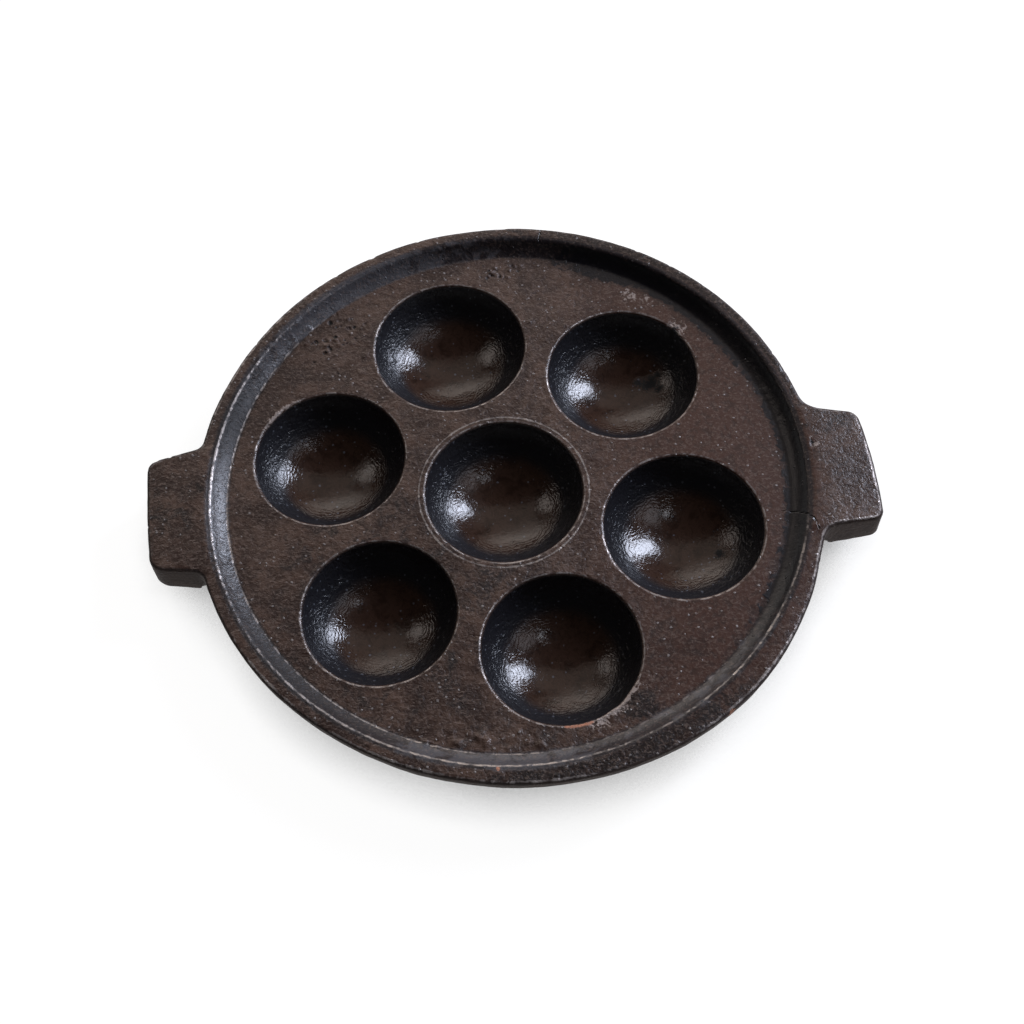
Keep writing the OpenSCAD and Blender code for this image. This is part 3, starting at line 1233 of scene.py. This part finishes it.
    def _colour(
        self,
        tree: bpy.types.NodeTree,
        mask: dict[str, Socket],
        noise: dict[str, Socket],
        strokes: Socket,
        specks: Socket,
        worn: Socket,
        crack: Socket,
    ) -> Socket:
        """Colour of the coats, the stain, the worn iron and the rust, and of painted highlights and
        shade.

        Args:
            tree: The material's node tree.
            mask: The masks of the mesh.
            noise: The skins' noises.
            strokes: The fine strokes.
            specks: The specks of slag.
            worn: Where the iron is bare, and the painted highlight at the cove's foot.
            crack: The cracks of the skin.

        Returns:
            The colour.
        """
        shown = {}
        for key, source, low, high, most in (
            ("mottled", "mottle", 0.36, 0.64, 1.0),
            ("hollow", "lump", 0.5, 0.36, 0.6),
            ("grain", "grain", 0.5, 0.7, 0.5),
            ("burnt", "patch", 0.46, 0.72, 1.0),
            ("crusted", "crust", 0.5, 0.36, 0.5),
        ):
            feeds = {"Value": noise[source], "From Min": low, "From Max": high, "To Max": most}
            shown[key] = add_node(tree, "MapRange", feeds, interpolation_type="SMOOTHSTEP").outputs[0]
        torn = {
            key: self._ragged(tree, mask[key], noise[source], share)
            for key, source, share in (
                ("shade", "patch", 0.25),
                ("pale", "crust", 0.5),
                ("polish_and_reflection", "patch", 0.35),
                ("oil", "lump", 0.42),
                ("soot", "crust", 0.5),
                ("rust", "crust", 0.2),
            )
        }
        plate = self._laid(tree, self.plate_brown, (
            Coat(shown["mottled"], self.plate_dark),
            Coat(mask["calm"], self.plate_red),
            Coat(torn["shade"], self.plate_shade),
            Coat(shown["hollow"], self.plate_dark),
            Coat(shown["grain"], self.grain_light),
            Coat(strokes, self.grain_light, 0.5),
            # Pale specks on the plate, partly painted glints.
            Coat(specks, self.worn_iron_and_highlight, 0.6),
            Coat(torn["pale"], self.pale_ash),
        ))
        cove = self._laid(tree, self.cove_dark, (
            # Lighter grey of the cove: partly polish, partly a painted reflection of the window.
            Coat(torn["polish_and_reflection"], self.cove_polish_and_reflection),
            Coat(shown["grain"], self.grain_light, 0.7),
            Coat(mask["dull"], self.soot_black, 0.7),
        ))
        cup = self._laid(tree, self.cup_floor, (
            Coat(shown["burnt"], self.cup_dark),
            Coat(shown["crusted"], self.cup_dark),
            Coat(mask["steep"], self.cup_wall),
            # Grey specks on the walls: slag, and partly painted glints of the bumps.
            Coat(specks, self.cup_speck_and_glint, 0.45),
        ))
        return self._laid(tree, plate, (
            Coat(mask["cove"], cove),
            Coat(mask["in_cup"], cup),
            Coat(mask["under"], self.underside),
            Coat(mask["side"], self.plate_shade, 0.65),
            # The oily stain's halo and black, on the cove partly painted shade.
            Coat(mask["oil"], self.oil_and_shade_halo, 0.7),
            Coat(torn["oil"], self.oil_and_shade_black),
            Coat(torn["soot"], self.soot_black),
            Coat(worn, self.worn_iron_and_highlight),
            Coat(crack, self.soot_black),
            Coat(torn["rust"], self.rust_orange),
        ))

    def _roughness(
        self, tree: bpy.types.NodeTree, mask: dict[str, Socket], patch: Socket, strokes: Socket
    ) -> Socket:
        """Roughness: satin plate, glossy cups, oily stain, dull sides, soot and rust."""
        feeds = {
            "Value": patch,
            "From Min": 0.3,
            "From Max": 0.7,
            "To Min": self.plate_roughness - 0.08,
            "To Max": self.plate_roughness + 0.08,
        }
        value = add_node(tree, "MapRange", feeds, interpolation_type="SMOOTHSTEP").outputs[0]
        feeds = {0: mask["cove"], 1: mask["dull"]}
        dull_cove = add_node(tree, "Math", feeds, operation="MULTIPLY").outputs[0]
        for share, target in (
            (strokes, self.stroke_roughness),
            (mask["calm"], self.calm_roughness),
            (mask["cove"], self.cove_roughness),
            (dull_cove, self.dull_roughness),
            (mask["in_cup"], self.cup_roughness),
            (mask["steep"], self.wall_roughness),
            (mask["oil"], self.oil_roughness),
            (mask["soot"], self.soot_roughness),
            (mask["rust"], self.rust_roughness),
            (mask["under"], self.under_roughness),
            (mask["side"], self.side_roughness),
        ):
            value = add_node(tree, "Mix", {0: share, 2: value, 3: target}).outputs[0]
        return value

    def _bump(
        self,
        tree: bpy.types.NodeTree,
        mask: dict[str, Socket],
        noise: dict[str, Socket],
        strokes: Socket,
        specks: Socket,
        crack: Socket,
    ) -> Socket:
        """The grain too fine for the mesh: sand on the plate, crust and rings in the cups.

        Args:
            tree: The material's node tree.
            mask: The masks of the mesh.
            noise: The skins' noises.
            strokes: The fine strokes.
            specks: The specks of slag.
            crack: The cracks of the skin.

        Returns:
            The normal.
        """
        cup = self._cup_height(tree, mask, noise)
        plate = self._plate_height(tree, mask, noise, strokes, specks)
        height = add_node(tree, "Mix", {0: mask["in_cup"], 2: plate, 3: cup}).outputs[0]
        feeds = {0: crack, 1: -self.crack_depth, 2: height}
        height = add_node(tree, "Math", feeds, operation="MULTIPLY_ADD").outputs[0]
        feeds = {"Height": height, "Strength": 1.0, "Distance": MM}
        return add_node(tree, "Bump", feeds).outputs[0]

    def _cup_height(
        self, tree: bpy.types.NodeTree, mask: dict[str, Socket], noise: dict[str, Socket]
    ) -> Socket:
        """Relief in the cups: fine rings on the floor and burnt crust on the walls."""
        turns = 2 * math.pi / self.ripple_mm
        wave = add_node(tree, "Math", {0: mask["cup_r"], 1: turns}, operation="MULTIPLY").outputs[0]
        feeds = {0: noise["patch"], 1: self.ring_wander, 2: wave}
        phase = add_node(tree, "Math", feeds, operation="MULTIPLY_ADD").outputs[0]
        rings = add_node(tree, "Math", {0: phase}, operation="SINE").outputs[0]
        parts = []
        for raw, low, high, start, end in (
            (rings, -16.0, -9.0, 0.0, 0.02),
            (noise["crust"], -8.0, -4.5, 0.08, 0.42),
        ):
            feeds = {"Value": mask["lip_gap"], "From Min": low, "From Max": high}
            feeds |= {"To Min": start, "To Max": end}
            depth = add_node(tree, "MapRange", feeds, interpolation_type="SMOOTHSTEP").outputs[0]
            parts.append(add_node(tree, "Math", {0: raw, 1: depth}, operation="MULTIPLY").outputs[0])
        return add_node(tree, "Math", {0: parts[1], 1: parts[0]}, operation="ADD").outputs[0]

    def _plate_height(
        self,
        tree: bpy.types.NodeTree,
        mask: dict[str, Socket],
        noise: dict[str, Socket],
        strokes: Socket,
        specks: Socket,
    ) -> Socket:
        """Relief of the sand on the plate, the rim and the lugs, softer where it is wiped."""
        height: Feed = 0.0
        for raw, depth in (
            (noise["lump"], self.lump_height),
            (noise["grain"], self.grain_height),
            (strokes, self.stroke_height),
        ):
            feeds = {0: raw, 1: depth, 2: height}
            height = add_node(tree, "Math", feeds, operation="MULTIPLY_ADD").outputs[0]
        wiped = add_node(tree, "Math", {0: mask["cove"], 1: 0.45}, operation="MULTIPLY").outputs[0]
        feeds = {0: mask["calm"], 1: wiped}
        smoother = add_node(tree, "Math", feeds, operation="MAXIMUM").outputs[0]
        feeds = {"Value": smoother, "To Min": 1.0, "To Max": 0.3}
        left = add_node(tree, "MapRange", feeds, interpolation_type="SMOOTHSTEP").outputs[0]
        height = add_node(tree, "Math", {0: height, 1: left}, operation="MULTIPLY").outputs[0]
        feeds = {0: specks, 1: self.speck_height, 2: height}
        return add_node(tree, "Math", feeds, operation="MULTIPLY_ADD").outputs[0]


@dataclass(frozen=True)
class PanCasting:
    """The whole casting: seven cups, plate, cove, rim and two lugs in one closed mesh."""

    sizes: PanSizes = field(default_factory=PanSizes)
    cups: tuple[Cup, ...] = (
        Cup(-2.2, -2.5, 27.5),
        Cup(43.0, 42.9, 27.0),
        Cup(-19.3, 58.9, 27.5),
        Cup(-63.0, 14.5, 26.5),
        Cup(-45.9, -45.9, 26.0),
        Cup(13.9, -62.4, 26.5),
        Cup(58.6, -20.0, 27.5),
    )
    lugs: tuple[Lug, ...] = (
        Lug(-1.3, 124.9, 42.5, 4.7, (1.1, 15.8), (4.0, 5.0), (6.5, 10.0), 0.85),
        Lug(183.2, 125.0, 42.0, 1.8, (9.9, 10.9), (4.5, 6.0), (4.5, 4.5), 0.3),
    )
    marks: tuple[Mark, ...] = (
        *along_lip(MarkKind.RUST, Cup(13.9, -62.4, 26.5), (-91, -73), 0.75, 0.75),
        *along_lip(MarkKind.PALE, Cup(13.9, -62.4, 26.5), (-68, -30), 1.1, 0.9),
        *along_lip(MarkKind.PALE, Cup(-63.0, 14.5, 26.5), (116, 150), 0.8, 0.8),
        Mark(MarkKind.RUST, 65.7, -88.3, 1.8),
        Mark(MarkKind.RUST, -8.75, -103.4, 0.9),
        Mark(MarkKind.SOOT, 54.2, 46.8, 3.4),
        Mark(MarkKind.SOOT, 50.4, 48.4, 2.0, 0.9),
        Mark(MarkKind.SOOT, 57.0, 43.8, 2.0, 0.9),
        Mark(MarkKind.SOOT, 57.4, 49.6, 1.2, 0.9),
        Mark(MarkKind.SOOT, 60.5, 55.3, 1.5),
        Mark(MarkKind.SOOT, 63.5, 60.5, 1.8),
        Mark(MarkKind.SOOT, 67.5, 50.0, 1.4),
        Mark(MarkKind.SOOT, 71.6, -25.3, 1.9),
        Mark(MarkKind.EROSION, 63.6, 60.7, 4.5),
        Mark(MarkKind.EROSION, -79.0, 33.5, 3.0, 0.7),
        Mark(MarkKind.EROSION, 24.5, -87.5, 3.6, 0.9),
        Mark(MarkKind.EROSION, 31.0, -83.5, 3.6, 0.9),
        Mark(MarkKind.EROSION, 33.9, -31.9, 2.4, 0.8),
        Mark(MarkKind.NUB, 10.8, 67.9, 0.9, 1.2),
        Mark(MarkKind.NUB, 23.6, 65.2, 0.8),
        Mark(MarkKind.PIT, 106.3, 6.5, 1.4),
        Mark(MarkKind.PALE, 107.9, 6.2, 1.3),
        Mark(MarkKind.PALE, 48.8, 77.6, 3.2, 0.6),
        Mark(MarkKind.PALE, 54.4, 74.6, 2.4, 0.5),
        *cluster(MarkKind.PIT, -61.7, 66.1, (8.0, 6.5), 34, 3),
        *cluster(MarkKind.NUB, -58.6, 63.6, (8.5, 6.5), 26, 4),
        *cluster(MarkKind.PIT, 0.9, 91.4, (6.0, 1.8), 12, 5),
        *cluster(MarkKind.NUB, 2.4, 91.1, (6.0, 2.0), 8, 6),
        *cluster(MarkKind.NUB, -14.0, -92.3, (14.0, 1.7), 44, 7),
    )
    cracks: tuple[tuple[tuple[float, float], ...], ...] = (
        ((103.5, -26.6), (102.2, -22.6), (99.3, -19.4), (97.2, -17.6), (92.6, -16.9)),
        ((16.3, 102.4), (16.9, 106.0), (17.0, 108.4)),
        ((54.4, 91.2), (56.4, 93.2)),
    )
    # Discs of the plate, as x, y and radius, whose pits and nubs need points twice as close.
    finer_discs: tuple[tuple[float, float, float], ...] = ((-61.7, 66.1, 13.0), (2.0, 91.0, 7.0))
    spacing: float = 0.95
    under_spacing: float = 2.2
    ring_count: int = 37
    lip_rows: int = 6
    round_rows: int = 4
    cove_rows: int = 9
    bowl_rings: int = 16
    bowl_reach: float = 29.6
    pad_rise: float = 0.35
    pad_half_w: float = 21.5
    flank_meet: float = 101.9

    def build(self) -> bpy.types.Object:
        """Lays the skin, works the relief into it and dresses it.

        Returns:
            The finished casting, in place, riding on its body.
        """
        shell = Shell()
        holes = [self._lay_cup(shell, cup) for cup in self.cups]
        cove_foot, cove_brow = self._lay_cove(shell)
        shell.fill(
            cove_foot,
            holes,
            self.spacing,
            lambda p: np.full(len(p), self.sizes.plate_top),
            Skin.PLATE,
            True,
            finer=self.finer_discs,
        )
        wall_top, flank_foot = self._lay_outer_wall(shell)
        shell.fill(wall_top, [cove_brow], self.spacing, self._rim_height, Skin.RIM, True)
        self._lay_underside(shell, flank_foot)
        values = Masks(self.sizes, self.cups, self.marks, self.cracks).values(shell, wall_top)
        shell.points = SandCastRelief(self.sizes, self.cups, self.marks).displaced(shell)
        low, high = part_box("pan")
        shell.points = np.clip(shell.points, np.array(low) / MM, np.array(high) / MM)
        made = shell.to_object(PIECE, values)
        made.data.materials.append(SeasonedSandCastIron().make("seasoned_sand_cast_iron"))
        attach(made, "root")
        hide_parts("pan")
        return made

    def _lay_cup(self, shell: Shell, cup: Cup) -> np.ndarray:
        """Lays a cup's hollow and its rounded lip, and returns the loop on the plate."""
        loop = shell.dish(cup.centre, evenly(cup.hollow(), self.ring_count + 1), Skin.CUP, True)
        around = unit(np.arange(len(loop)) * 360 / len(loop))
        lip = evenly(cup.lip_rounding(), self.lip_rows + 1)[1:]
        flat = [(cup.lip + self.sizes.lip_edge + step, self.sizes.plate_top) for step in (0.45, 1.0)]
        rows = [
            np.column_stack([cup.centre + radius * around, np.full(len(around), height)])
            for radius, height in [*lip, *flat]
        ]
        loop = shell.rows(loop, rows[:-2], Skin.CUP, True)
        return shell.rows(loop, rows[-2:], Skin.PLATE, True)

    def _lay_cove(self, shell: Shell) -> tuple[np.ndarray, np.ndarray]:
        """Lays the cove and the rim's inner edge, and returns its foot and its brow."""
        s = self.sizes
        count = round(2 * math.pi * s.rim_inner_r / self.spacing)
        around = unit(np.arange(count) * 360 / count)
        brow_low = (s.rim_inner_r, s.rim_top - s.rim_brow / 2)
        cove = evenly(arc((s.plate_r, s.plate_top), brow_low, s.cove_radius), self.cove_rows + 1)
        brow = evenly(arc(brow_low, (s.brow_r, s.rim_top), -1.25 * s.rim_brow), self.round_rows + 1)
        rows = [
            np.column_stack([s.hollow + radius * around, np.full(count, height)])
            for radius, height in np.vstack([cove, brow[1:]])
        ]
        foot = shell.add(rows[0], Skin.COVE)
        return foot, shell.rows(foot, rows[1:], Skin.COVE, True)

    def _outline(self) -> tuple[np.ndarray, np.ndarray]:
        """The casting's outline in plan and its outward normals, evenly spaced."""
        s = self.sizes
        pieces: list[np.ndarray] = []
        edges = [lug.outline(s.rim_r) for lug in self.lugs]
        for edge, following in zip(edges, edges[1:] + edges[:1], strict=True):
            start = math.degrees(math.atan2(edge[-1, 1], edge[-1, 0]))
            end = math.degrees(math.atan2(following[0, 1], following[0, 0]))
            turn = (end - start) % 360
            pieces += [edge, s.rim_r * unit(start + turn * np.linspace(0, 1, 400)[1:-1])]
        path = np.vstack(pieces)
        length = np.linalg.norm(np.diff(np.vstack([path, path[:1]]), axis=0), axis=1).sum()
        points = evenly(path, round(length / self.spacing), closed=True)
        ahead = np.roll(points, -1, axis=0) - np.roll(points, 1, axis=0)
        ahead /= np.linalg.norm(ahead, axis=1, keepdims=True)
        return points, np.column_stack([ahead[:, 1], -ahead[:, 0]])

    def _rim_height(self, places: np.ndarray) -> np.ndarray:
        """Height of the rim's land, with the lugs' pads a little proud of it."""
        s = self.sizes
        height = np.full(len(places), s.rim_top)
        radius = np.linalg.norm(places, axis=1)
        in_hollow = np.linalg.norm(places - s.hollow, axis=1)
        for lug in self.lugs:
            axis = unit(lug.bearing)
            side = np.abs(places @ np.array([-axis[1], axis[0]]))
            along = places @ axis
            half = self.pad_half_w + 0.1 * np.maximum(lug.reach - along, 0)
            pad = smooth(half + 1.6, half - 0.2, side) * smooth(s.brow_r, s.brow_r + 0.8, in_hollow)
            pad = np.maximum(pad, smooth(s.rim_r + 0.7, s.rim_r + 2.5, radius))
            height += self.pad_rise * np.where(along > 0, pad, 0)
        return height

    def _lug_under(self, places: np.ndarray) -> np.ndarray:
        """Height of the lugs' undersides, which rise towards their ends."""
        s = self.sizes
        top = s.rim_top + s.lug_proud
        run = self.lugs[0].reach - s.rim_inner_r
        out = np.clip((np.hypot(places[:, 0], places[:, 1]) - s.rim_inner_r) / run, 0, 1)
        return top - s.lug_root_t + out * (s.lug_root_t - s.lug_end_t)

    def _lay_outer_wall(self, shell: Shell) -> tuple[np.ndarray, np.ndarray]:
        """Lays the band and the lugs' sides, and carries them on under the lugs to the flank.

        Args:
            shell: The skin to add to.

        Returns:
            The loop at the top, on the rim's land, and the one at the flank's foot.
        """
        s = self.sizes
        outline, out = self._outline()
        reach = np.hypot(outline[:, 0], outline[:, 1])
        around = outline / reach[:, None]
        lug = smooth(s.rim_r, s.rim_r + 3, reach)
        flare = s.lug_flare * lug * np.abs(out[:, 1])
        edge = s.rim_edge + (s.lug_edge - s.rim_edge) * lug
        top = self._rim_height(outline)
        under = self._lug_under(outline)
        band_foot = s.rim_top - s.band_h
        low = band_foot + (under - band_foot) * lug
        rows = []
        for turn in np.radians(np.linspace(0, 90, self.round_rows + 1)):
            inset = edge * (1 - math.sin(turn))
            height = top - edge * (1 - math.cos(turn))
            rows.append(np.column_stack([outline - out * inset[:, None], height]))
        soft = 0.3 + (s.lug_edge - 0.3) * lug
        for share in (0.33, 0.67, 1.0):
            height = (top - edge) * (1 - share) + (low + soft) * share
            inset = s.band_draft * share * (1 - lug) - flare * share
            rows.append(np.column_stack([outline - out * inset[:, None], height]))
        for turn in np.radians((30, 60, 90)):
            round_in = soft * (1 - math.cos(turn)) * (0.25 + 0.75 * lug)
            inset = s.band_draft * (1 - lug) - flare + round_in
            height = low + soft * (1 - math.sin(turn))
            rows.append(np.column_stack([outline - out * inset[:, None], height]))
        flank_ends = (s.rim_r - s.flank_run, s.plate_under), (s.rim_r - s.band_draft, band_foot)
        flank = evenly(arc(*flank_ends, s.flank_radius), 60)
        start = rows[-1]
        start_r = np.hypot(start[:, 0], start[:, 1])
        meet_z = np.interp(self.flank_meet, flank[:, 0], flank[:, 1])
        for share in np.linspace(0, 1, 8)[1:]:
            radius = start_r + (self.flank_meet - start_r) * share
            on_flank = np.interp(radius, flank[:, 0], flank[:, 1])
            place = start[:, :2] * (1 - share) + self.flank_meet * around * share
            place = np.where(lug[:, None] > 0, place, radius[:, None] * around)
            on_lug = self._lug_under(place)
            on_lug += (meet_z - on_lug) * smooth(0.5, 1.0, np.full(len(radius), share))
            rows.append(np.column_stack([place, on_flank * (1 - lug) + on_lug * lug]))
        for radius in np.linspace(self.flank_meet, s.rim_r - s.flank_run, 5)[1:]:
            height = np.interp(radius, flank[:, 0], flank[:, 1])
            rows.append(np.column_stack([radius * around, np.full(len(around), height)]))
        first = shell.add(rows[0], Skin.RIM)
        side = shell.rows(first, rows[1 : self.round_rows + 7], Skin.SIDE, True)
        return first, shell.rows(side, rows[self.round_rows + 7 :], Skin.UNDER, True)

    def _under_height(self, places: np.ndarray) -> np.ndarray:
        """Height of the underside: the plate, or the lowest bowl there."""
        height = np.full(len(places), self.sizes.plate_under)
        for cup in self.cups:
            bowl = cup.bowl()
            away = np.hypot(places[:, 0] - cup.x, places[:, 1] - cup.y)
            height = np.minimum(height, np.interp(away, bowl[:, 0], bowl[:, 1], right=99.0))
        return height

    def _lay_underside(self, shell: Shell, flank_foot: np.ndarray) -> None:
        """Lays the bowls and the plate's underside between them."""
        holes = []
        for cup in self.cups:
            bowl = cup.bowl()
            section = evenly(bowl[bowl[:, 0] <= self.bowl_reach], self.bowl_rings + 1)
            holes.append(shell.dish(cup.centre, section, Skin.UNDER, False))
        shell.fill(
            flank_foot, holes, self.under_spacing, self._under_height, Skin.UNDER, False
        )


@dataclass(frozen=True)
class Lamp:
    """A soft rectangular lamp: the way towards it, its distance and size in metres, its light."""

    name: str
    toward: tuple[float, float, float]
    distance: float
    width: float
    height: float
    colour: str
    radiance: float

    def place(self, target: Vector) -> bpy.types.Object:
        """Makes the lamp and turns it to the pan.

        Args:
            target: The point that it shines at, in metres.

        Returns:
            The lamp.
        """
        data = bpy.data.lights.new(self.name, "AREA")
        data.shape = "RECTANGLE"
        data.size, data.size_y = self.width, self.height
        data.color = linear_colour(self.colour)[:3]
        data.energy = self.radiance * math.pi * self.width * self.height
        lamp = bpy.data.objects.new(self.name, data)
        way = Vector(self.toward).normalized()
        lamp.location = target + way * self.distance
        lamp.rotation_mode = "QUATERNION"
        lamp.rotation_quaternion = way.to_track_quat("Z", "Y")
        bpy.context.scene.collection.objects.link(lamp)
        return lamp


@dataclass(frozen=True)
class Studio:
    """The pale floor, the window and lamps, and the quiet room that the iron reflects."""

    lamps: tuple[Lamp, ...] = (
        Lamp("main_window", (0.72, 0.49, 0.48), 1.2, 0.27, 0.75, "#e3ebff", 23.0),
        Lamp("right_window", (0.63, -0.1, 0.77), 1.4, 0.45, 0.45, "#e8e6ee", 1.6),
        Lamp("left_window", (-0.62, 0.45, 0.64), 1.3, 0.34, 0.34, "#f2e6df", 2.0),
        Lamp("ceiling", (0.0, 0.60, 0.80), 1.6, 1.6, 0.8, "#fff0e4", 0.4),
        Lamp("overhead_lamp", (0.34, -0.17, 0.92), 1.5, 0.12, 0.12, "#f2f5ff", 8.0),
    )
    floor_side: float = 3.0
    floor_drop: float = 0.0001
    floor_colour: str = "#f4f2f1"
    paper_glow: float = 0.96
    paper_share: float = 0.2
    shade_reach: float = 0.03
    shade_closed: float = 0.25
    shade_open: float = 0.66
    shade_least: float = 0.12
    room_colour: str = "#8f8a88"
    room_strength: float = 0.05
    wall_colour: str = "#fff3ea"
    wall_strength: float = 2.0
    wall_way: tuple[float, float, float] = (-0.16, 0.977, 0.14)
    white_top: float = 0.14
    white_full: float = 0.08

    def build(self) -> None:
        """Sets up the floor, the lamps and the world."""
        target = Vector((0, 0, 0.02))
        for lamp in self.lamps:
            lamp.place(target)
        self._floor()
        self._world()

    def _floor(self) -> None:
        """Lays the floor: paper that glows for the camera, save where the pan stands close over it."""
        half = self.floor_side / 2
        mesh = bpy.data.meshes.new("floor")
        around = ((-1, -1), (1, -1), (1, 1), (-1, 1))
        corners = [(x * half, y * half, -self.floor_drop) for x, y in around]
        mesh.from_pydata(corners, [], [(0, 1, 2, 3)])
        floor = bpy.data.objects.new("floor", mesh)
        bpy.context.scene.collection.objects.link(floor)
        material = bpy.data.materials.new("matt_white_paper")
        material.use_nodes = True
        tree = material.node_tree
        tree.nodes.clear()
        paper = add_node(tree, "BsdfDiffuse", {"Color": self.floor_colour})
        feeds = {"Distance": self.shade_reach}
        open_sky = add_node(tree, "AmbientOcclusion", feeds, samples=4).outputs["AO"]
        feeds = {
            "Value": open_sky,
            "From Min": self.shade_closed,
            "From Max": self.shade_open,
            "To Min": self.shade_least * self.paper_glow,
            "To Max": self.paper_glow,
        }
        strength = add_node(tree, "MapRange", feeds).outputs[0]
        glow = add_node(tree, "Emission", {"Strength": strength})
        black = add_node(tree, "BsdfDiffuse", {"Color": (0, 0, 0, 1)})
        feeds = {0: self.paper_share, 1: black.outputs[0], 2: paper.outputs[0]}
        dimmed = add_node(tree, "MixShader", feeds)
        lit = add_node(tree, "AddShader", {0: dimmed.outputs[0], 1: glow.outputs[0]})
        feeds = {0: self._seen(tree), 1: paper.outputs[0], 2: lit.outputs[0]}
        both = add_node(tree, "MixShader", feeds)
        add_node(tree, "OutputMaterial", {"Surface": both.outputs[0]})
        mesh.materials.append(material)

    @staticmethod
    def _seen(tree: bpy.types.NodeTree) -> bpy.types.NodeSocket:
        """One for what the camera sees straight, mirrored in the iron or through something clear."""
        path = add_node(tree, "LightPath").outputs
        seen: Feed = path["Is Camera Ray"]
        for other in ("Is Glossy Ray", "Is Transmission Ray"):
            seen = add_node(tree, "Math", {0: seen, 1: path[other]}, operation="MAXIMUM").outputs[0]
        return seen

    def _world(self) -> None:
        """Sets the dim room with its pale back wall, and the white that stands behind the floor.

        The white is seen straight from everywhere, and mirrored only where it stands, low down.
        """
        world = bpy.data.worlds.new("room")
        bpy.context.scene.world = world
        world.use_nodes = True
        tree = world.node_tree
        tree.nodes.clear()
        way = add_node(tree, "TexCoord").outputs["Generated"]
        feeds = {0: way, 1: self.wall_way}
        toward = add_node(tree, "VectorMath", feeds, operation="DOT_PRODUCT").outputs["Value"]
        feeds = {"Value": toward, "From Min": 0.8, "From Max": 1.0}
        near_wall = add_node(tree, "MapRange", feeds, interpolation_type="SMOOTHSTEP").outputs[0]
        feeds = {"Color": self.room_colour, "Strength": self.room_strength}
        room = add_node(tree, "Background", feeds).outputs[0]
        feeds = {"Color": self.wall_colour, "Strength": self.wall_strength}
        wall = add_node(tree, "Background", feeds).outputs[0]
        dim = add_node(tree, "MixShader", {0: near_wall, 1: room, 2: wall}).outputs[0]
        white = add_node(tree, "Background", {"Color": (1, 1, 1, 1), "Strength": 1.0}).outputs[0]
        height = add_node(tree, "SeparateXYZ", {0: way}).outputs["Z"]
        feeds = {"Value": height, "From Min": self.white_top, "From Max": self.white_full}
        low = add_node(tree, "MapRange", feeds).outputs[0]
        feeds = {0: self._seen(tree), 1: low}
        mirrored = add_node(tree, "Math", feeds, operation="MULTIPLY").outputs[0]
        straight = add_node(tree, "LightPath").outputs["Is Camera Ray"]
        share = add_node(tree, "Math", {0: straight, 1: mirrored}, operation="MAXIMUM").outputs[0]
        mixed = add_node(tree, "MixShader", {0: share, 1: dim, 2: white})
        add_node(tree, "OutputWorld", {"Surface": mixed.outputs[0]})


@dataclass(frozen=True)
class PhotoCamera:
    """The camera at the photo's angle: above and in front of the pan, and rolled a little."""

    elevation: float = 62.3
    roll: float = -3.245
    distance: float = 0.4791
    lens: float = 48.86
    target: tuple[float, float, float] = (0.00015, -0.01123, 0.01954)

    def place(self) -> bpy.types.Object:
        """Makes the camera and gives it to the scene.

        Returns:
            The camera.
        """
        data = bpy.data.cameras.new("camera")
        data.lens = self.lens
        data.sensor_width = 36.0
        data.clip_start, data.clip_end = 0.01, 20.0
        camera = bpy.data.objects.new("camera", data)
        e, r = math.radians(self.elevation), math.radians(self.roll)
        back = Vector((0, -math.cos(e), math.sin(e)))
        right = Vector((1, 0, 0))
        up = back.cross(right)
        x_axis = right * math.cos(r) + up * math.sin(r)
        y_axis = up * math.cos(r) - right * math.sin(r)
        turn = Matrix((x_axis, y_axis, back)).transposed().to_4x4()
        camera.matrix_world = Matrix.Translation(Vector(self.target) + back * self.distance) @ turn
        bpy.context.scene.collection.objects.link(camera)
        bpy.context.scene.camera = camera
        return camera


def main() -> None:
    """Builds the pan, the studio and the camera."""
    logging.basicConfig(level=logging.INFO, format="%(name)s: %(message)s")
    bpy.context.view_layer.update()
    PhotoCamera().place()
    Studio().build()
    casting = PanCasting().build()
    mesh = casting.data
    LOG.info("%s: %d points, %d faces", casting.name, len(mesh.vertices), len(mesh.polygons))
    bpy.context.scene.view_settings.view_transform = "Standard"


if __name__ == "__main__":
    main()
